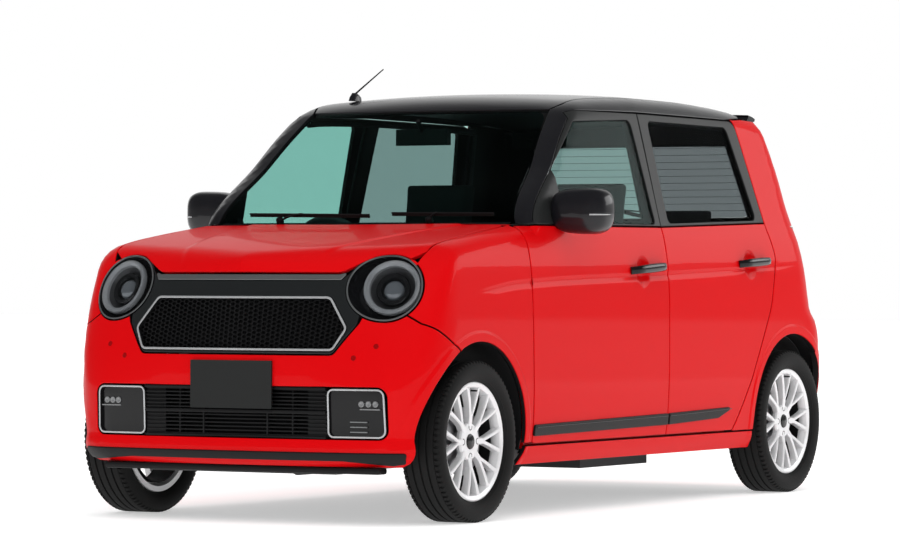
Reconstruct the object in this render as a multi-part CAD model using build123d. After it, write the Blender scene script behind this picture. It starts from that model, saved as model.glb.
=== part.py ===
from build123d import *
import math
import os

# A five-door kei car in millimetres: +Z up, nose towards -Y, the car's left side at +X.
#
# The origin lies on the ground below the middle of the car's box.  Every piece is one STEP file.

# ---------------------------------------------------------------- driving sizes
body_length = 3395.0
body_width = 1475.0
body_height = 1545.0
front_axle_y = -1252.5
rear_axle_y = 1267.5
track = 1305.0

tyre_radius = 280.0
tyre_width = 165.0
rim_radius = 190.5
bead_half = 54.0              # half the tyre's width on the rim
rim_lip_radius = 206.0
rim_face_x = 61.5            # the rim's outer face, outboard of the wheel's middle plane
hub_bore_radius = 20.0
running_clearance = 0.05
spoke_pairs = 8
spoke_width = 15.0
disc_radius = 120.0

arch_radius = 335.0
arch_height = 288.0
liner_wall = 8.0

lower_wall = 70.0            # doors, wings and bumpers below the belt
upper_wall = 40.0            # window frames, pillars and roof
bonnet_wall = 32.0
glass_wall = 5.0
glass_depth = 14.0           # glass below the outer skin
seat_gap = 0.3               # a seated piece from its seat
shut_gap = 8.0               # between two neighbouring moving panels
panel_gap = 4.0              # between fixed panels
frame_relief = 7.0           # extra room behind a door frame's upper rear corner

belt_z = 1034.0
deck_y = 800.0                # the rear deck's front edge
deck_z = 490.0
deck_wall = 30.0
floor_z = 182.0
floor_wall = 40.0
door_split_y = 190.0

bonnet_half = 640.0
bonnet_rear_y = -858.0
latch_y = -1545.0
lamp_radius = 123.0
lamp_x = 541.0
lamp_y = -1560.0
lamp_z = 812.0
lamp_tilt = 24.0             # the lamp's face leans back
lamp_toe = 14.0              # and looks outwards

kingpin_low = (585.0, 195.0)    # ball joint under the wheel: x, z
kingpin_top = (500.0, 760.0)    # strut's upper mount
plate_thickness = 7.5
nose_front = plate_thickness - body_length / 2     # the bumper behind the plate
steering_wheel_x = -330.0
steering_wheel_y = -455.0
steering_wheel_z = 905.0
steering_wheel_radius = 183.0
steering_grip = 30.0
steering_tilt = 24.0
wiper_y = -838.0

tailgate_hinge_y = 1290.0
tailgate_low_z = 715.0

# Body sections seen from above.  Columns: height, front end, front bow radius, front corner
# radius, half width, rear end, rear bow radius, rear corner radius, wall.
SECTIONS = [
    (182.0, -1610.0, 4200.0, 150.0, 688.0, 1630.0, 4200.0, 150.0, lower_wall),
    (236.0, -1680.0, 4200.0, 165.0, 716.0, 1672.0, 4200.0, 160.0, lower_wall),
    (320.0, -1688.0, 4200.0, 170.0, 729.0, 1692.0, 4200.0, 165.0, lower_wall),
    (478.0, nose_front, 4200.0, 170.0, 736.5, body_length / 2, 4200.0, 165.0, lower_wall),
    (600.0, -1689.0, 4200.0, 170.0, body_width / 2, 1693.0, 4200.0, 165.0, lower_wall),
    (660.0, -1683.0, 4200.0, 170.0, body_width / 2, 1672.0, 4200.0, 165.0, lower_wall),
    (720.0, -1676.0, 4200.0, 170.0, body_width / 2, 1612.0, 4200.0, 165.0, lower_wall),
    (860.0, -1650.0, 4200.0, 170.0, 733.0, 1576.0, 4200.0, 165.0, lower_wall),
    (895.0, -1632.0, 4200.0, 170.0, 729.0, 1568.0, 4200.0, 165.0, lower_wall),
    (922.0, -1592.0, 4200.0, 170.0, 726.0, 1562.0, 4200.0, 165.0, lower_wall),
    (957.0, -1440.0, 4200.0, 150.0, 720.0, 1552.0, 4200.0, 165.0, lower_wall),
    (1000.0, -1150.0, 4000.0, 130.0, 711.0, 1540.0, 4200.0, 160.0, lower_wall),
    (belt_z, -868.0, 3368.0, 100.0, 701.0, 1528.0, 4200.0, 155.0, upper_wall),
    (1262.0, -616.0, 3120.0, 95.0, 646.0, 1436.0, 4200.0, 140.0, upper_wall),
    (1457.0, -400.0, 2900.0, 90.0, 598.0, 1325.0, 4200.0, 120.0, upper_wall),
    (1500.0, -345.0, 2900.0, 100.0, 579.0, 1296.0, 4200.0, 120.0, upper_wall),
    (1522.0, -265.0, 2900.0, 110.0, 552.0, 1220.0, 4200.0, 120.0, upper_wall),
    (1537.0, -110.0, 2900.0, 130.0, 470.0, 1020.0, 4200.0, 130.0, upper_wall),
    (body_height, 130.0, 2900.0, 130.0, 300.0, 700.0, 4200.0, 130.0, upper_wall),
]

# Outlines in the side view.  Columns: y, z, corner radius.
FRONT_DOOR_AREA = [(-854, 258, 20), (-884, 1008, 12), (-868, 1036, 12), (-352, 1442, 70),
                   (door_split_y, 1464, 6), (door_split_y, 258, 6)]
REAR_DOOR_AREA = [(door_split_y, 258, 6), (door_split_y, 1464, 6), (946, 1460, 70),
                  (1086, 1088, 60), (1132, 930, 70), (1071, 728, 260), (908, 462, 260),
                  (752, 258, 20)]
FRONT_DOOR_TOP_REAR = 4
REAR_DOOR_TOP_REAR = 2
FRONT_WINDOW = [(-548, 1047, 18), (-566, 1236, 12), (-334, 1416, 30), (116, 1434, 26),
                (150, 1047, 18)]
REAR_WINDOW = [(262, 1052, 18), (262, 1434, 26), (876, 1432, 34), (1020, 1072, 24)]


# ---------------------------------------------------------------- small helpers
def unit(a, b):
    """The direction from a to b and the distance between them."""
    dx, dy = b[0] - a[0], b[1] - a[1]
    size = math.hypot(dx, dy)
    return dx / size, dy / size, size


def outline_edges(points, place):
    """Straight runs and tangent corner arcs through points of (u, v, corner radius)."""
    corners = []
    for i, (u, v, radius) in enumerate(points):
        before, after = points[i - 1], points[(i + 1) % len(points)]
        ax, ay, _ = unit((u, v), before)
        bx, by, _ = unit((u, v), after)
        half = math.acos(max(-1.0, min(1.0, ax * bx + ay * by))) / 2
        if radius <= 0 or half > math.pi / 2 - 1e-4:
            corners.append(((u, v), None, (u, v)))
            continue
        reach = radius / math.tan(half)
        mx, my = ax + bx, ay + by
        size = math.hypot(mx, my)
        middle = radius / math.sin(half) - radius
        corners.append(((u + ax * reach, v + ay * reach),
                        (u + mx / size * middle, v + my / size * middle),
                        (u + bx * reach, v + by * reach)))
    edges = []
    for i, (start, middle, end) in enumerate(corners):
        if middle is not None:
            edges.append(ThreePointArc(place(start), place(middle), place(end)))
        following = corners[(i + 1) % len(corners)][0]
        if math.dist(end, following) > 1e-4:
            edges.append(Line(place(end), place(following)))
    return edges


def face_of(points, place):
    return make_face(outline_edges(points, place))


def signed_area(points):
    return sum(p[0] * q[1] - q[0] * p[1] for p, q in zip(points, points[1:] + points[:1])) / 2


def inset(points, amount):
    """The outline moved inwards by amount, or outwards if it is negative."""
    turn = 1.0 if signed_area(points) > 0 else -1.0
    moved = []
    for i, (u, v, radius) in enumerate(points):
        before, after = points[i - 1], points[(i + 1) % len(points)]
        ax, ay, _ = unit(before, (u, v))
        bx, by, _ = unit((u, v), after)
        cross = ax * by - ay * bx
        n1, n2 = (-ay * turn, ax * turn), (-by * turn, bx * turn)
        scale = amount / (1 + n1[0] * n2[0] + n1[1] * n2[1])
        convex = cross * turn > 0
        moved.append((u + (n1[0] + n2[0]) * scale, v + (n1[1] + n2[1]) * scale,
                      max(radius - amount, 1.0) if convex else max(radius + amount, 1.0)))
    return moved


def prism_x(points, x_from, x_to):
    """An outline in (y, z) carried from x_from to x_to."""
    face = face_of(points, lambda p: (x_from, p[0], p[1]))
    return extrude(face, amount=abs(x_to - x_from), dir=(1 if x_to > x_from else -1, 0, 0))


def prism_y(points, y_from, y_to):
    """An outline in (x, z) carried from y_from to y_to."""
    face = face_of(points, lambda p: (p[0], y_from, p[1]))
    return extrude(face, amount=abs(y_to - y_from), dir=(0, 1 if y_to > y_from else -1, 0))


def prism_z(points, z_from, z_to):
    """An outline in (x, y) carried from z_from to z_to."""
    face = face_of(points, lambda p: (p[0], p[1], z_from))
    return extrude(face, amount=abs(z_to - z_from), dir=(0, 0, 1 if z_to > z_from else -1))


def block(x_from, x_to, y_from, y_to, z_from, z_to):
    middle = ((x_from + x_to) / 2, (y_from + y_to) / 2, (z_from + z_to) / 2)
    return Pos(*middle) * Box(abs(x_to - x_from), abs(y_to - y_from), abs(z_to - z_from))


def rod(start, end, radius):
    """A round bar between two points."""
    a, b = Vector(*start), Vector(*end)
    return Solid.make_cylinder(radius, (b - a).length, Plane(origin=a, z_dir=b - a))


def drum_x(x_from, x_to, y, z, radius):
    return rod((x_from, y, z), (x_to, y, z), radius)


def mirrored(shape):
    return mirror(shape, about=Plane.YZ)


def both_sides(points):
    """A symmetric outline from its right half, listed from the bottom up."""
    return points + [(-u, v, r) for u, v, r in reversed(points)]


def solids_of(shape):
    return [s for s in shape.solids() if s.volume > 1.0]


def joined(pieces):
    whole = pieces[0]
    for piece in pieces[1:]:
        whole = whole + piece
    return whole


def biggest(shape, count=1):
    """The count largest solids, without the slivers that a cut can leave."""
    kept = sorted(solids_of(shape), key=lambda s: -s.volume)[:count]
    return kept[0] if count == 1 else Compound(kept)


# ---------------------------------------------------------------- body form
def end_arcs(end, bow, corner, half, sign):
    """Points of one end of a section: corner arc, bow arc, corner arc, from +X to -X."""
    reach = (half - corner) / (1 - corner / bow)
    lean = math.asin(reach / bow)
    bow_y = end + sign * (bow - math.sqrt(bow ** 2 - reach ** 2))
    centre = (half - corner, bow_y + sign * corner * math.cos(lean))
    turn = (math.pi / 2 + lean) / 2
    middle = (centre[0] + corner * math.sin(turn), centre[1] - sign * corner * math.cos(turn))
    return (half, centre[1]), middle, (reach, bow_y)


def section_face(row, extra=0.0, drop=0.0):
    """One closed section of the body, moved inwards by extra and down by drop."""
    z, front, bow_f, corner_f, half, rear, bow_r, corner_r, _ = row
    side_f, mid_f, bow_pt_f = end_arcs(front + extra, bow_f, corner_f - extra / 2, half - extra, 1)
    side_r, mid_r, bow_pt_r = end_arcs(rear - extra, bow_r, corner_r - extra / 2, half - extra, -1)
    h = z - drop
    at = lambda p, s=1: (s * p[0], p[1], h)
    edges = [
        ThreePointArc(at(bow_pt_f, -1), (0, front + extra, h), at(bow_pt_f)),
        ThreePointArc(at(bow_pt_f), at(mid_f), at(side_f)),
        Line(at(side_f), at(side_r)),
        ThreePointArc(at(side_r), at(mid_r), at(bow_pt_r)),
        ThreePointArc(at(bow_pt_r), (0, rear - extra, h), at(bow_pt_r, -1)),
        ThreePointArc(at(bow_pt_r, -1), at(mid_r, -1), at(side_r, -1)),
        Line(at(side_r, -1), at(side_f, -1)),
        ThreePointArc(at(side_f, -1), at(mid_f, -1), at(bow_pt_f, -1)),
    ]
    return make_face(edges)


def hull(share=0.0, extra=0.0, drop=0.0):
    """The body's closed form; share is how much of each section's wall is taken off it."""
    return loft([section_face(row, extra + share * row[-1], drop) for row in SECTIONS],
                ruled=True)


outer_form = hull()
inner_form = hull(share=1.0, drop=0.0) - block(-900, 900, -2000, 2000, body_height - upper_wall, 1700)
lowered_form = hull(drop=bonnet_wall)
wall_form = outer_form - inner_form


def well(axle_y, radius, x_from, x_to):
    """The round cut of a wheel arch, open to the ground."""
    return (drum_x(x_from, x_to, axle_y, arch_height, radius)
            + block(x_from, x_to, axle_y - radius, axle_y + radius, 0, arch_height))


def lamp_plane(distance=0.0):
    """The plane of the left lamp's face, moved along its axis."""
    tilt, toe = math.radians(lamp_tilt), math.radians(lamp_toe)
    axis = (math.sin(toe) * math.cos(tilt), -math.cos(toe) * math.cos(tilt), math.sin(tilt))
    origin = tuple(c + a * distance for c, a in zip((lamp_x, lamp_y, lamp_z), axis))
    return Plane(origin=origin, z_dir=axis)


def lamp_drum(radius, back, front):
    return Solid.make_cylinder(radius, front - back, lamp_plane(back))


def lamp_hole():
    """The left lamp's hole: an open gap at the skin and a close seat behind it."""
    return lamp_drum(lamp_radius + panel_gap, -14, 160) + lamp_drum(lamp_radius + seat_gap, -140, -14)



# ---------------------------------------------------------------- doors
# The doors' inner limit seen from the front.  Columns: x, z, corner radius.
DOOR_LIMIT = [(600, 150, 0), (800, 150, 0), (800, 1560, 0), (528, 1560, 0), (552, 1458, 0),
              (654, 1040, 0), (654, 985, 0), (600, 940, 0)]


def door_block(outline, grow=0.0):
    """An outline in the side view carried through the left wall only."""
    return prism_x(outline, 400, 800) & prism_y(inset(DOOR_LIMIT, -grow), -1000, 1300)


def door_area_cut(area):
    return door_block(inset(area, -shut_gap / 2), shut_gap / 2)


def door_outline(area, top_rear):
    moved = list(area)
    y, z, radius = moved[top_rear]
    moved[top_rear] = (y - frame_relief, z, radius)
    return inset(moved, shut_gap / 2)


def door_panel(area, top_rear, window):
    """The whole door, as thick as the wall, with its window cut."""
    outline = door_block(door_outline(area, top_rear))
    return biggest((wall_form & outline) - prism_x(window, 300, 800))


def door_glass(window):
    """The pane, a thin layer below the outer skin that fills the window."""
    layer = glass_layer & door_block(inset(window, seat_gap))
    return biggest(layer)


def door_handle(y_from, y_to, z):
    """A bar over its cup, held by two feet on the door's skin."""
    grip = 15.0
    proud = 30.0
    skin = section_at(z, 4) - 8
    bar = block(skin + 24, skin + 24 + 14, y_from, y_to, z - grip, z + grip)
    feet = [block(skin, skin + proud, y, y + 26, z - 11, z + 11) for y in (y_from + 6, y_to - 32)]
    return joined([bar] + feet)


def section_at(z, column):
    """One column of the section table at a height."""
    for low, high in zip(SECTIONS, SECTIONS[1:]):
        if low[0] <= z <= high[0]:
            return low[column] + (z - low[0]) / (high[0] - low[0]) * (high[column] - low[column])
    return SECTIONS[-1][column]


def inner_end(z, side):
    """The y of the wall's inner face at the nose (side -1) or the tail (side +1)."""
    return section_at(z, 1 if side < 0 else 5) - side * section_at(z, 8)


def bonnet_under(y):
    """The height of the bonnet's underside at the middle of the car."""
    for low, high in zip(SECTIONS, SECTIONS[1:]):
        if low[1] <= y <= high[1] and low[0] > 860:
            return low[0] + (y - low[1]) / (high[1] - low[1]) * (high[0] - low[0]) - bonnet_wall
    return belt_z - bonnet_wall


def door_strip(y_from, y_to):
    """The dark guard low on a door."""
    points = [(y_from, 292, 4), (y_to, 306, 4), (y_to + 18, 342, 4), (y_from, 330, 4)]
    layer = prism_x(points, section_at(300, 4) - 12, section_at(300, 4) + 7)
    return layer


def mirror_housing():
    """The door mirror on its foot at the front corner of the window."""
    shell = prism_y([(748, 1040, 30), (868, 1014, 36), (893, 1050, 36), (886, 1140, 34),
                     (752, 1156, 34)], -632, -548)
    foot = prism_y([(664, 1052, 6), (760, 1026, 6), (770, 1062, 6), (668, 1084, 6)], -622, -570)
    return shell + foot


def front_door():
    panel = door_panel(FRONT_DOOR_AREA, FRONT_DOOR_TOP_REAR, FRONT_WINDOW)
    pieces = [panel, door_handle(-120, 143, 879), door_strip(-846, 172), mirror_housing()]
    return joined(pieces)


def rear_door():
    panel = door_panel(REAR_DOOR_AREA, REAR_DOOR_TOP_REAR, REAR_WINDOW)
    return joined([panel, door_handle(797, 1010, 905), door_strip(208, 700)])


# ---------------------------------------------------------------- fixed body
def pillar_inner():
    """The post behind the gap between the doors."""
    behind = hull(share=1.0, extra=seat_gap) - hull(share=1.0, extra=34.0)
    post = block(300, 800, door_split_y - 46, door_split_y + 46, floor_z + floor_wall, 1500)
    return behind & post


def side_frame():
    """Sill, pillars, roof rail and rear quarter of the left side in one frame."""
    region = prism_x([(-822, floor_z, 0), (1640, floor_z, 0), (1640, 700, 0), (1700, 712, 0),
                      (1700, 1560, 0), (-822, 1560, 0)], 300, 800)
    frame = wall_form & region
    for area in (FRONT_DOOR_AREA, REAR_DOOR_AREA):
        frame = frame - door_area_cut(area)
    frame = frame - well(rear_axle_y, arch_radius, 380, 800)
    frame = frame - well(front_axle_y, arch_radius, 380, 800)
    frame = frame - tailgate_cut() - windscreen_cut() - roof_block(seat_gap) - tail_lamp_cut()
    frame = frame - prism_x(inset(REAR_BUMPER_SIDE, -panel_gap), 300, 800)
    frame = frame - block(-900, 300, -2000, 2000, 0, 2000)
    return biggest(frame)


roof_half = 520.0
screen_low = 1040.0
screen_top = 1458.0
roof_rear = tailgate_hinge_y - 6.0


def roof_block(grow=0.0):
    """The box that takes the roof panel out of the walls."""
    return block(-roof_half - grow, roof_half + grow, -520, roof_rear,
                 screen_top + panel_gap, 1700)


def roof_panel():
    """The roof between its rails."""
    base = prism_x([(-250, 1512, 0), (-170, 1512, 0), (-190, 1538, 10), (-225, 1538, 10)],
                   -412, -388)
    mast = rod((-400, -206, 1530), (-400, 8, 1640), 3.2)
    return biggest((wall_form & roof_block()) + base + mast)


def windscreen_outline(grow=0.0):
    points = both_sides([(626, screen_low, 30), (508, screen_top, 50)])
    return inset(points, -grow)


def windscreen_cut():
    return prism_y(windscreen_outline(), -1100, -250)


def windscreen():
    return biggest(glass_layer & prism_y(windscreen_outline(-seat_gap), -1100, -250))


TAILGATE_OUTLINE = [(548, tailgate_low_z, 50), (600, 1010, 260), (588, 1120, 260),
                    (500, 1462, 60), (486, 1560, 20)]


def tailgate_outline(grow=0.0):
    return inset(both_sides(TAILGATE_OUTLINE), -grow)


def tailgate_cut():
    behind = block(-800, 800, tailgate_hinge_y - 6, 1800, 600, 1700)
    return prism_y(tailgate_outline(shut_gap), 1000, 1800) & behind


REAR_GLASS = [(470, 1092, 50), (410, 1428, 50)]


def tailgate():
    behind = block(-800, 800, tailgate_hinge_y + 2, 1800, 600, 1700)
    shell = wall_form & prism_y(tailgate_outline(), 1000, 1800) & behind
    shell = shell - prism_y(both_sides(REAR_GLASS), 1000, 1800)
    return biggest(shell)


def tailgate_glass():
    outline = inset(both_sides(REAR_GLASS), seat_gap)
    return biggest(glass_layer & prism_y(outline, 1200, 1800))


def rear_spoiler():
    """The lip over the rear window, seated on the tailgate's top."""
    points = [(tailgate_hinge_y + 8, 1501, 2), (1392, 1482, 10), (1388, 1464, 6),
              (tailgate_hinge_y + 32, 1458, 4)]
    lip = prism_x(points, -486, 486)
    return biggest(lip - hull(extra=-seat_gap, drop=-seat_gap))


REAR_BUMPER_SIDE = [(1452, 150, 0), (1720, 150, 0), (1720, 706, 0), (1500, 706, 0),
                    (1474, 560, 0)]
TAIL_LAMP = [(612, 722, 30), (760, 722, 30), (760, 1040, 30), (628, 1040, 30)]


def rear_bumper():
    shell = wall_form & prism_x(REAR_BUMPER_SIDE, -800, 800)
    for side in (1, -1):
        shell = shell - well(rear_axle_y, arch_radius, side * 380, side * 800)
    return biggest(shell)


def tail_lamp_cut():
    return prism_y(inset(TAIL_LAMP, -panel_gap / 2), 1380, 1800)


def tail_lamp():
    body = (outer_form - hull(extra=50.0)) & prism_y(TAIL_LAMP, 1380, 1800)
    return biggest(body)


# ---------------------------------------------------------------- nose
BUMPER_SIDE = [(-1720, 150, 0), (-1396, 150, 0), (-1396, 598, 0), (-1560, 690, 0),
               (-1720, 690, 0)]


def front_bumper():
    shell = wall_form & prism_x(BUMPER_SIDE, -800, 800)
    for side in (1, -1):
        shell = shell - well(front_axle_y, arch_radius, side * 380, side * 800)
        shell = shell - mirrored_if(lamp_hole(), side)
        shell = shell - prism_y(mirrored_points(FOG_OUTLINE, side), -1800, -1500)
    shell = shell - prism_y(both_sides(INTAKE), -1800, -1500)
    return biggest(shell - grille_panel_hole())


INTAKE = [(352, 300, 16), (352, 392, 10)]
FOG_OUTLINE = [(374, 300, 22), (590, 300, 26), (584, 468, 26), (374, 468, 22)]
GRILLE_PANEL = [(380, 586, 20), (446, 668, 30), (430, 858, 10)]
GRILLE_HOLE = [(376, 606, 18), (424, 672, 24), (350, 770, 18)]


def mirrored_points(points, side):
    return [(side * u, v, r) for u, v, r in points]


def mirrored_if(shape, side):
    return shape if side > 0 else mirrored(shape)


def grille_panel_hole():
    """The panel's hole in its neighbours: an open gap at the skin and a close seat behind it."""
    wide = prism_y(inset(both_sides(GRILLE_PANEL), -panel_gap), -1800, -1450)
    close = prism_y(inset(both_sides(GRILLE_PANEL), -seat_gap), -1800, -1450)
    return (wide - hull(extra=14.0)) + close


def grille_panel():
    """The panel between the lamps, with a recessed mesh plate behind its opening."""
    layer = outer_form - hull(extra=46.0)
    panel = layer & prism_y(both_sides(GRILLE_PANEL), -1800, -1500)
    panel = panel - prism_y(both_sides(GRILLE_HOLE), -1800, -1500)
    backing = hull(extra=22.0) - hull(extra=40.0)
    mesh = backing & prism_y(inset(both_sides(GRILLE_HOLE), -10), -1800, -1500)
    whole = panel + mesh
    for side in (1, -1):
        whole = whole - mirrored_if(lamp_drum(lamp_radius + 1.0, -90, 120), side)
    return biggest(whole)


def headlamp():
    """A round lamp: ring, recessed lens and a housing behind."""
    ring = lamp_drum(lamp_radius, -70, 34) - lamp_drum(104, 4, 40)
    dome = lamp_drum(100, -10, 14)
    return ring + dome


def fog_lamp():
    """A square dark inset with its frame and lamp row."""
    outline = inset(FOG_OUTLINE, seat_gap)
    deep = (hull(extra=18.0) - hull(extra=60.0)) & prism_y(outline, -1800, -1500)
    frame = (outer_form - hull(extra=60.0)) & prism_y(outline, -1800, -1500)
    frame = frame - prism_y(inset(FOG_OUTLINE, 8), -1800, -1500)
    return biggest(deep + frame)


def lower_grille():
    """Slats across the low intake."""
    outline = inset(both_sides(INTAKE), seat_gap)
    plate = (hull(extra=30.0) - hull(extra=50.0)) & prism_y(outline, -1800, -1500)
    slats = [plate]
    for z in (318, 340, 362, 384):
        slab = block(-352, 352, -1800, -1500, z - 4, z + 4) & prism_y(outline, -1800, -1500)
        slats.append(slab & (hull(extra=12.0) - hull(extra=50.0)))
    return biggest(joined(slats))


BONNET_TOP_Z = 866.0


def bonnet_outline(grow=0.0):
    """The bonnet seen from above."""
    points = [(0, -1760, 0), (bonnet_half - 6, -1760, 0), (bonnet_half, -1200, 0),
              (bonnet_half - 14, bonnet_rear_y + 24, 50), (0, bonnet_rear_y - 36, 3000)]
    both = points[1:] + [(-u, v, r) for u, v, r in reversed(points[1:-1])]
    return inset(both, -grow)


def bonnet_cut():
    return prism_z(bonnet_outline(5.0), BONNET_TOP_Z - 5.0, 1100)


def bonnet():
    shell = (outer_form - lowered_form) & prism_z(bonnet_outline(), BONNET_TOP_Z, 1100)
    for side in (1, -1):
        shell = shell - mirrored_if(lamp_drum(lamp_radius + 9.0, -120, 160), side)
    return biggest(shell)


def wing():
    """The left front wing: its top beside the bonnet, flank and wheel arch liner."""
    flank = wall_form & prism_x([(-1720, 150, 0), (-888, 150, 0), (-888, 1008, 0), (-872, 1040, 0),
                                 (-826, 1040, 0), (-826, 1080, 0), (-1720, 1080, 0)], 300, 800)
    flank = flank - bonnet_cut() - windscreen_cut() - door_area_cut(FRONT_DOOR_AREA)
    flank = flank - prism_x(inset(BUMPER_SIDE, -panel_gap), 0, 800)
    flank = flank - block(0, 500, -1800, -900, 150, 865)
    flank = flank - lamp_hole() - grille_panel_hole()
    flank = biggest(flank)
    liner = drum_x(430, 690, front_axle_y, arch_height, arch_radius + liner_wall)
    liner = liner - drum_x(380, 800, front_axle_y, arch_height, arch_radius)
    liner = liner - block(300, 800, -1900, -500, 0, arch_height)
    liner = liner - rod((kingpin_at(620), front_axle_y, 500), (kingpin_at(620), front_axle_y, 800), 78)
    liner = liner - block(300, 800, -1400 - 400, -1396 + panel_gap, 0, 610)
    liner = biggest(liner)
    return biggest((flank + liner) - well(front_axle_y, arch_radius, 380, 800))


# ---------------------------------------------------------------- floor and running gear
def floor_pan():
    """Floor, firewall, front rails, rear deck and rear wheel houses."""
    inside = hull(share=1.0, extra=seat_gap)
    top = floor_z + floor_wall
    plate = inside & block(-800, 800, -846, deck_y, floor_z, top)
    wall = inside & block(-800, 800, -846, -812, floor_z, 985)
    rails = [block(s * 360 - 30, s * 360 + 30, -1560, -840, 330, 420) for s in (1, -1)]
    cross = block(-390, 390, -1590, -1556, 320, 430)
    bumper_pad = block(-80, 80, inner_end(340, -1) + seat_gap, -1580, 340, 420)
    latch = block(-40, 40, latch_y - 15, latch_y + 15, 330, bonnet_under(latch_y - 15) - seat_gap)
    striker = block(-50, 50, inner_end(760, 1) - 40, inner_end(760, 1) - seat_gap, deck_z - 20, 760)
    rear_rails = [block(s * 430 - 30, s * 430 + 30, deck_y, 1570, 420, 470) for s in (1, -1)]
    step = block(-460, 460, deck_y - 40, deck_y, floor_z, deck_z)
    deck = block(-460, 460, deck_y - 40, 1570, deck_z - deck_wall, deck_z)
    whole = joined([plate, wall, cross, bumper_pad, latch, step, deck, striker] + rails + rear_rails)
    for s in (1, -1):
        whole = whole - well(rear_axle_y, arch_radius, s * 470, s * 800)
        house = drum_x(s * 459, s * 664, rear_axle_y, arch_height, arch_radius + liner_wall)
        house = house - drum_x(s * 467, s * 800, rear_axle_y, arch_height, arch_radius)
        house = house - block(-800, 800, 0, 1800, 0, floor_z)
        house = house - block(s * 440, s * 480, rear_axle_y - 60, rear_axle_y + 60, 0, 380)
        whole = whole + (house & inside)
    return biggest(whole)


def kingpin_at(z):
    """The kingpin's x at a height."""
    share = (z - kingpin_low[1]) / (kingpin_top[1] - kingpin_low[1])
    return kingpin_low[0] + share * (kingpin_top[0] - kingpin_low[0])


def kingpin_rod(side, z_from, z_to, radius):
    """A bar along the left or right kingpin."""
    return rod((side * kingpin_at(z_from), front_axle_y, z_from),
               (side * kingpin_at(z_to), front_axle_y, z_to), radius)


def front_subframe():
    """Cross member with lower arms out to the ball joints of the uprights."""
    y = front_axle_y
    pieces = [block(-400, 400, y - 60, y + 60, 190, 240)]
    for s in (1, -1):
        pieces.append(rod((s * 380, y + 30, 212), (s * kingpin_at(186), y, 186), 14))
        pieces.append(kingpin_rod(s, 172, 205, 22))
        pieces.append(block(s * 360 - 26, s * 360 + 26, y - 40, y + 40, 240, 330))
    return joined(pieces)


def drum_z(x, y, z_from, z_to, radius):
    return rod((x, y, z_from), (x, y, z_to), radius)


def front_strut():
    """Spring, upper mount and tower of the left strut, down to the front rail."""
    y = front_axle_y
    spring = kingpin_rod(1, 605, 740, 52)
    mount = block(420, section_at(760, 4) - lower_wall - seat_gap, y - 70, y + 70, 744, 760)
    cup = kingpin_rod(1, 735, 750, 58)
    post = block(334, 424, y - 50, y + 50, 420 + seat_gap, 760)
    return joined([spring, cup, mount, post])


def knuckle():
    """Left upright with its strut tube, stub axle and steering arm."""
    y, z = front_axle_y, tyre_radius
    upright = kingpin_rod(1, 205 + 4 * seat_gap, 420, 20)
    tube = kingpin_rod(1, 400, 605 - 4 * seat_gap, 22)
    stub = drum_x(kingpin_at(z), 700, y, z, hub_bore_radius - running_clearance)
    flange = drum_x(kingpin_at(z), 620, y, z, 44)
    arm = rod((kingpin_at(300), y, 300), (kingpin_at(300) - 25, y + 125, 300), 12)
    return joined([upright, tube, stub, flange, arm])


def rear_axle():
    """Torsion beam, trailing arms, dampers and stub axles."""
    y, z = rear_axle_y, tyre_radius
    pieces = [drum_x(-440, 440, y - 190, 250, 34)]
    for s in (1, -1):
        pieces.append(rod((s * 430, deck_y + 1.5, 262), (s * 430, y - 190, 250), 26))
        pieces.append(rod((s * 430, y - 190, 250), (s * 430, y + 30, z), 28))
        pieces.append(drum_x(s * 400, s * 610, y, z, 34))
        pieces.append(drum_x(s * 600, s * 700, y, z, hub_bore_radius - running_clearance))
        pieces.append(rod((s * 430, y + 30, z), (s * 430, y + 30, 420 - seat_gap), 22))
    return joined(pieces)


def exhaust():
    """One pipe below the floor to a silencer behind the axle."""
    x, low, y = -220.0, 150.0, rear_axle_y
    pieces = [rod((x, -900, low), (x, y - 60, low), 22), rod((x, y - 60, low), (x, y + 90, 300), 22),
              rod((x, -1010, 300), (x, -900, low), 22)]
    for bend in ((x, -900, low), (x, y - 60, low)):
        pieces.append(Pos(*bend) * Sphere(22))
    pieces.append(block(-400, -60, y + 80, y + 240, 240, 380))
    for place in (-500, 100, 640):
        pieces.append(block(x - 12, x + 12, place - 15, place + 15, low, floor_z - seat_gap))
    pieces.append(block(-240, -220, y + 150, y + 170, 370, deck_z - deck_wall - seat_gap))
    return joined(pieces)


# Half section of the tyre.  Columns: x from the middle plane, radius, corner radius.
def tyre(x, y):
    half = tyre_width / 2
    r = tyre_radius
    side = [(half - 18, r, 14), (half - 4, r - 14, 16), (half, rim_radius + 46, 24),
            (bead_half + 4, rim_lip_radius + 3, 6), (bead_half, rim_radius + seat_gap, 3)]
    points = side + [(-u, v, c) for u, v, c in reversed(side)]
    face = face_of(points, lambda p: (x + p[0], y, tyre_radius + p[1]))
    return revolve(face, Axis((x, y, tyre_radius), (1, 0, 0)))


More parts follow.
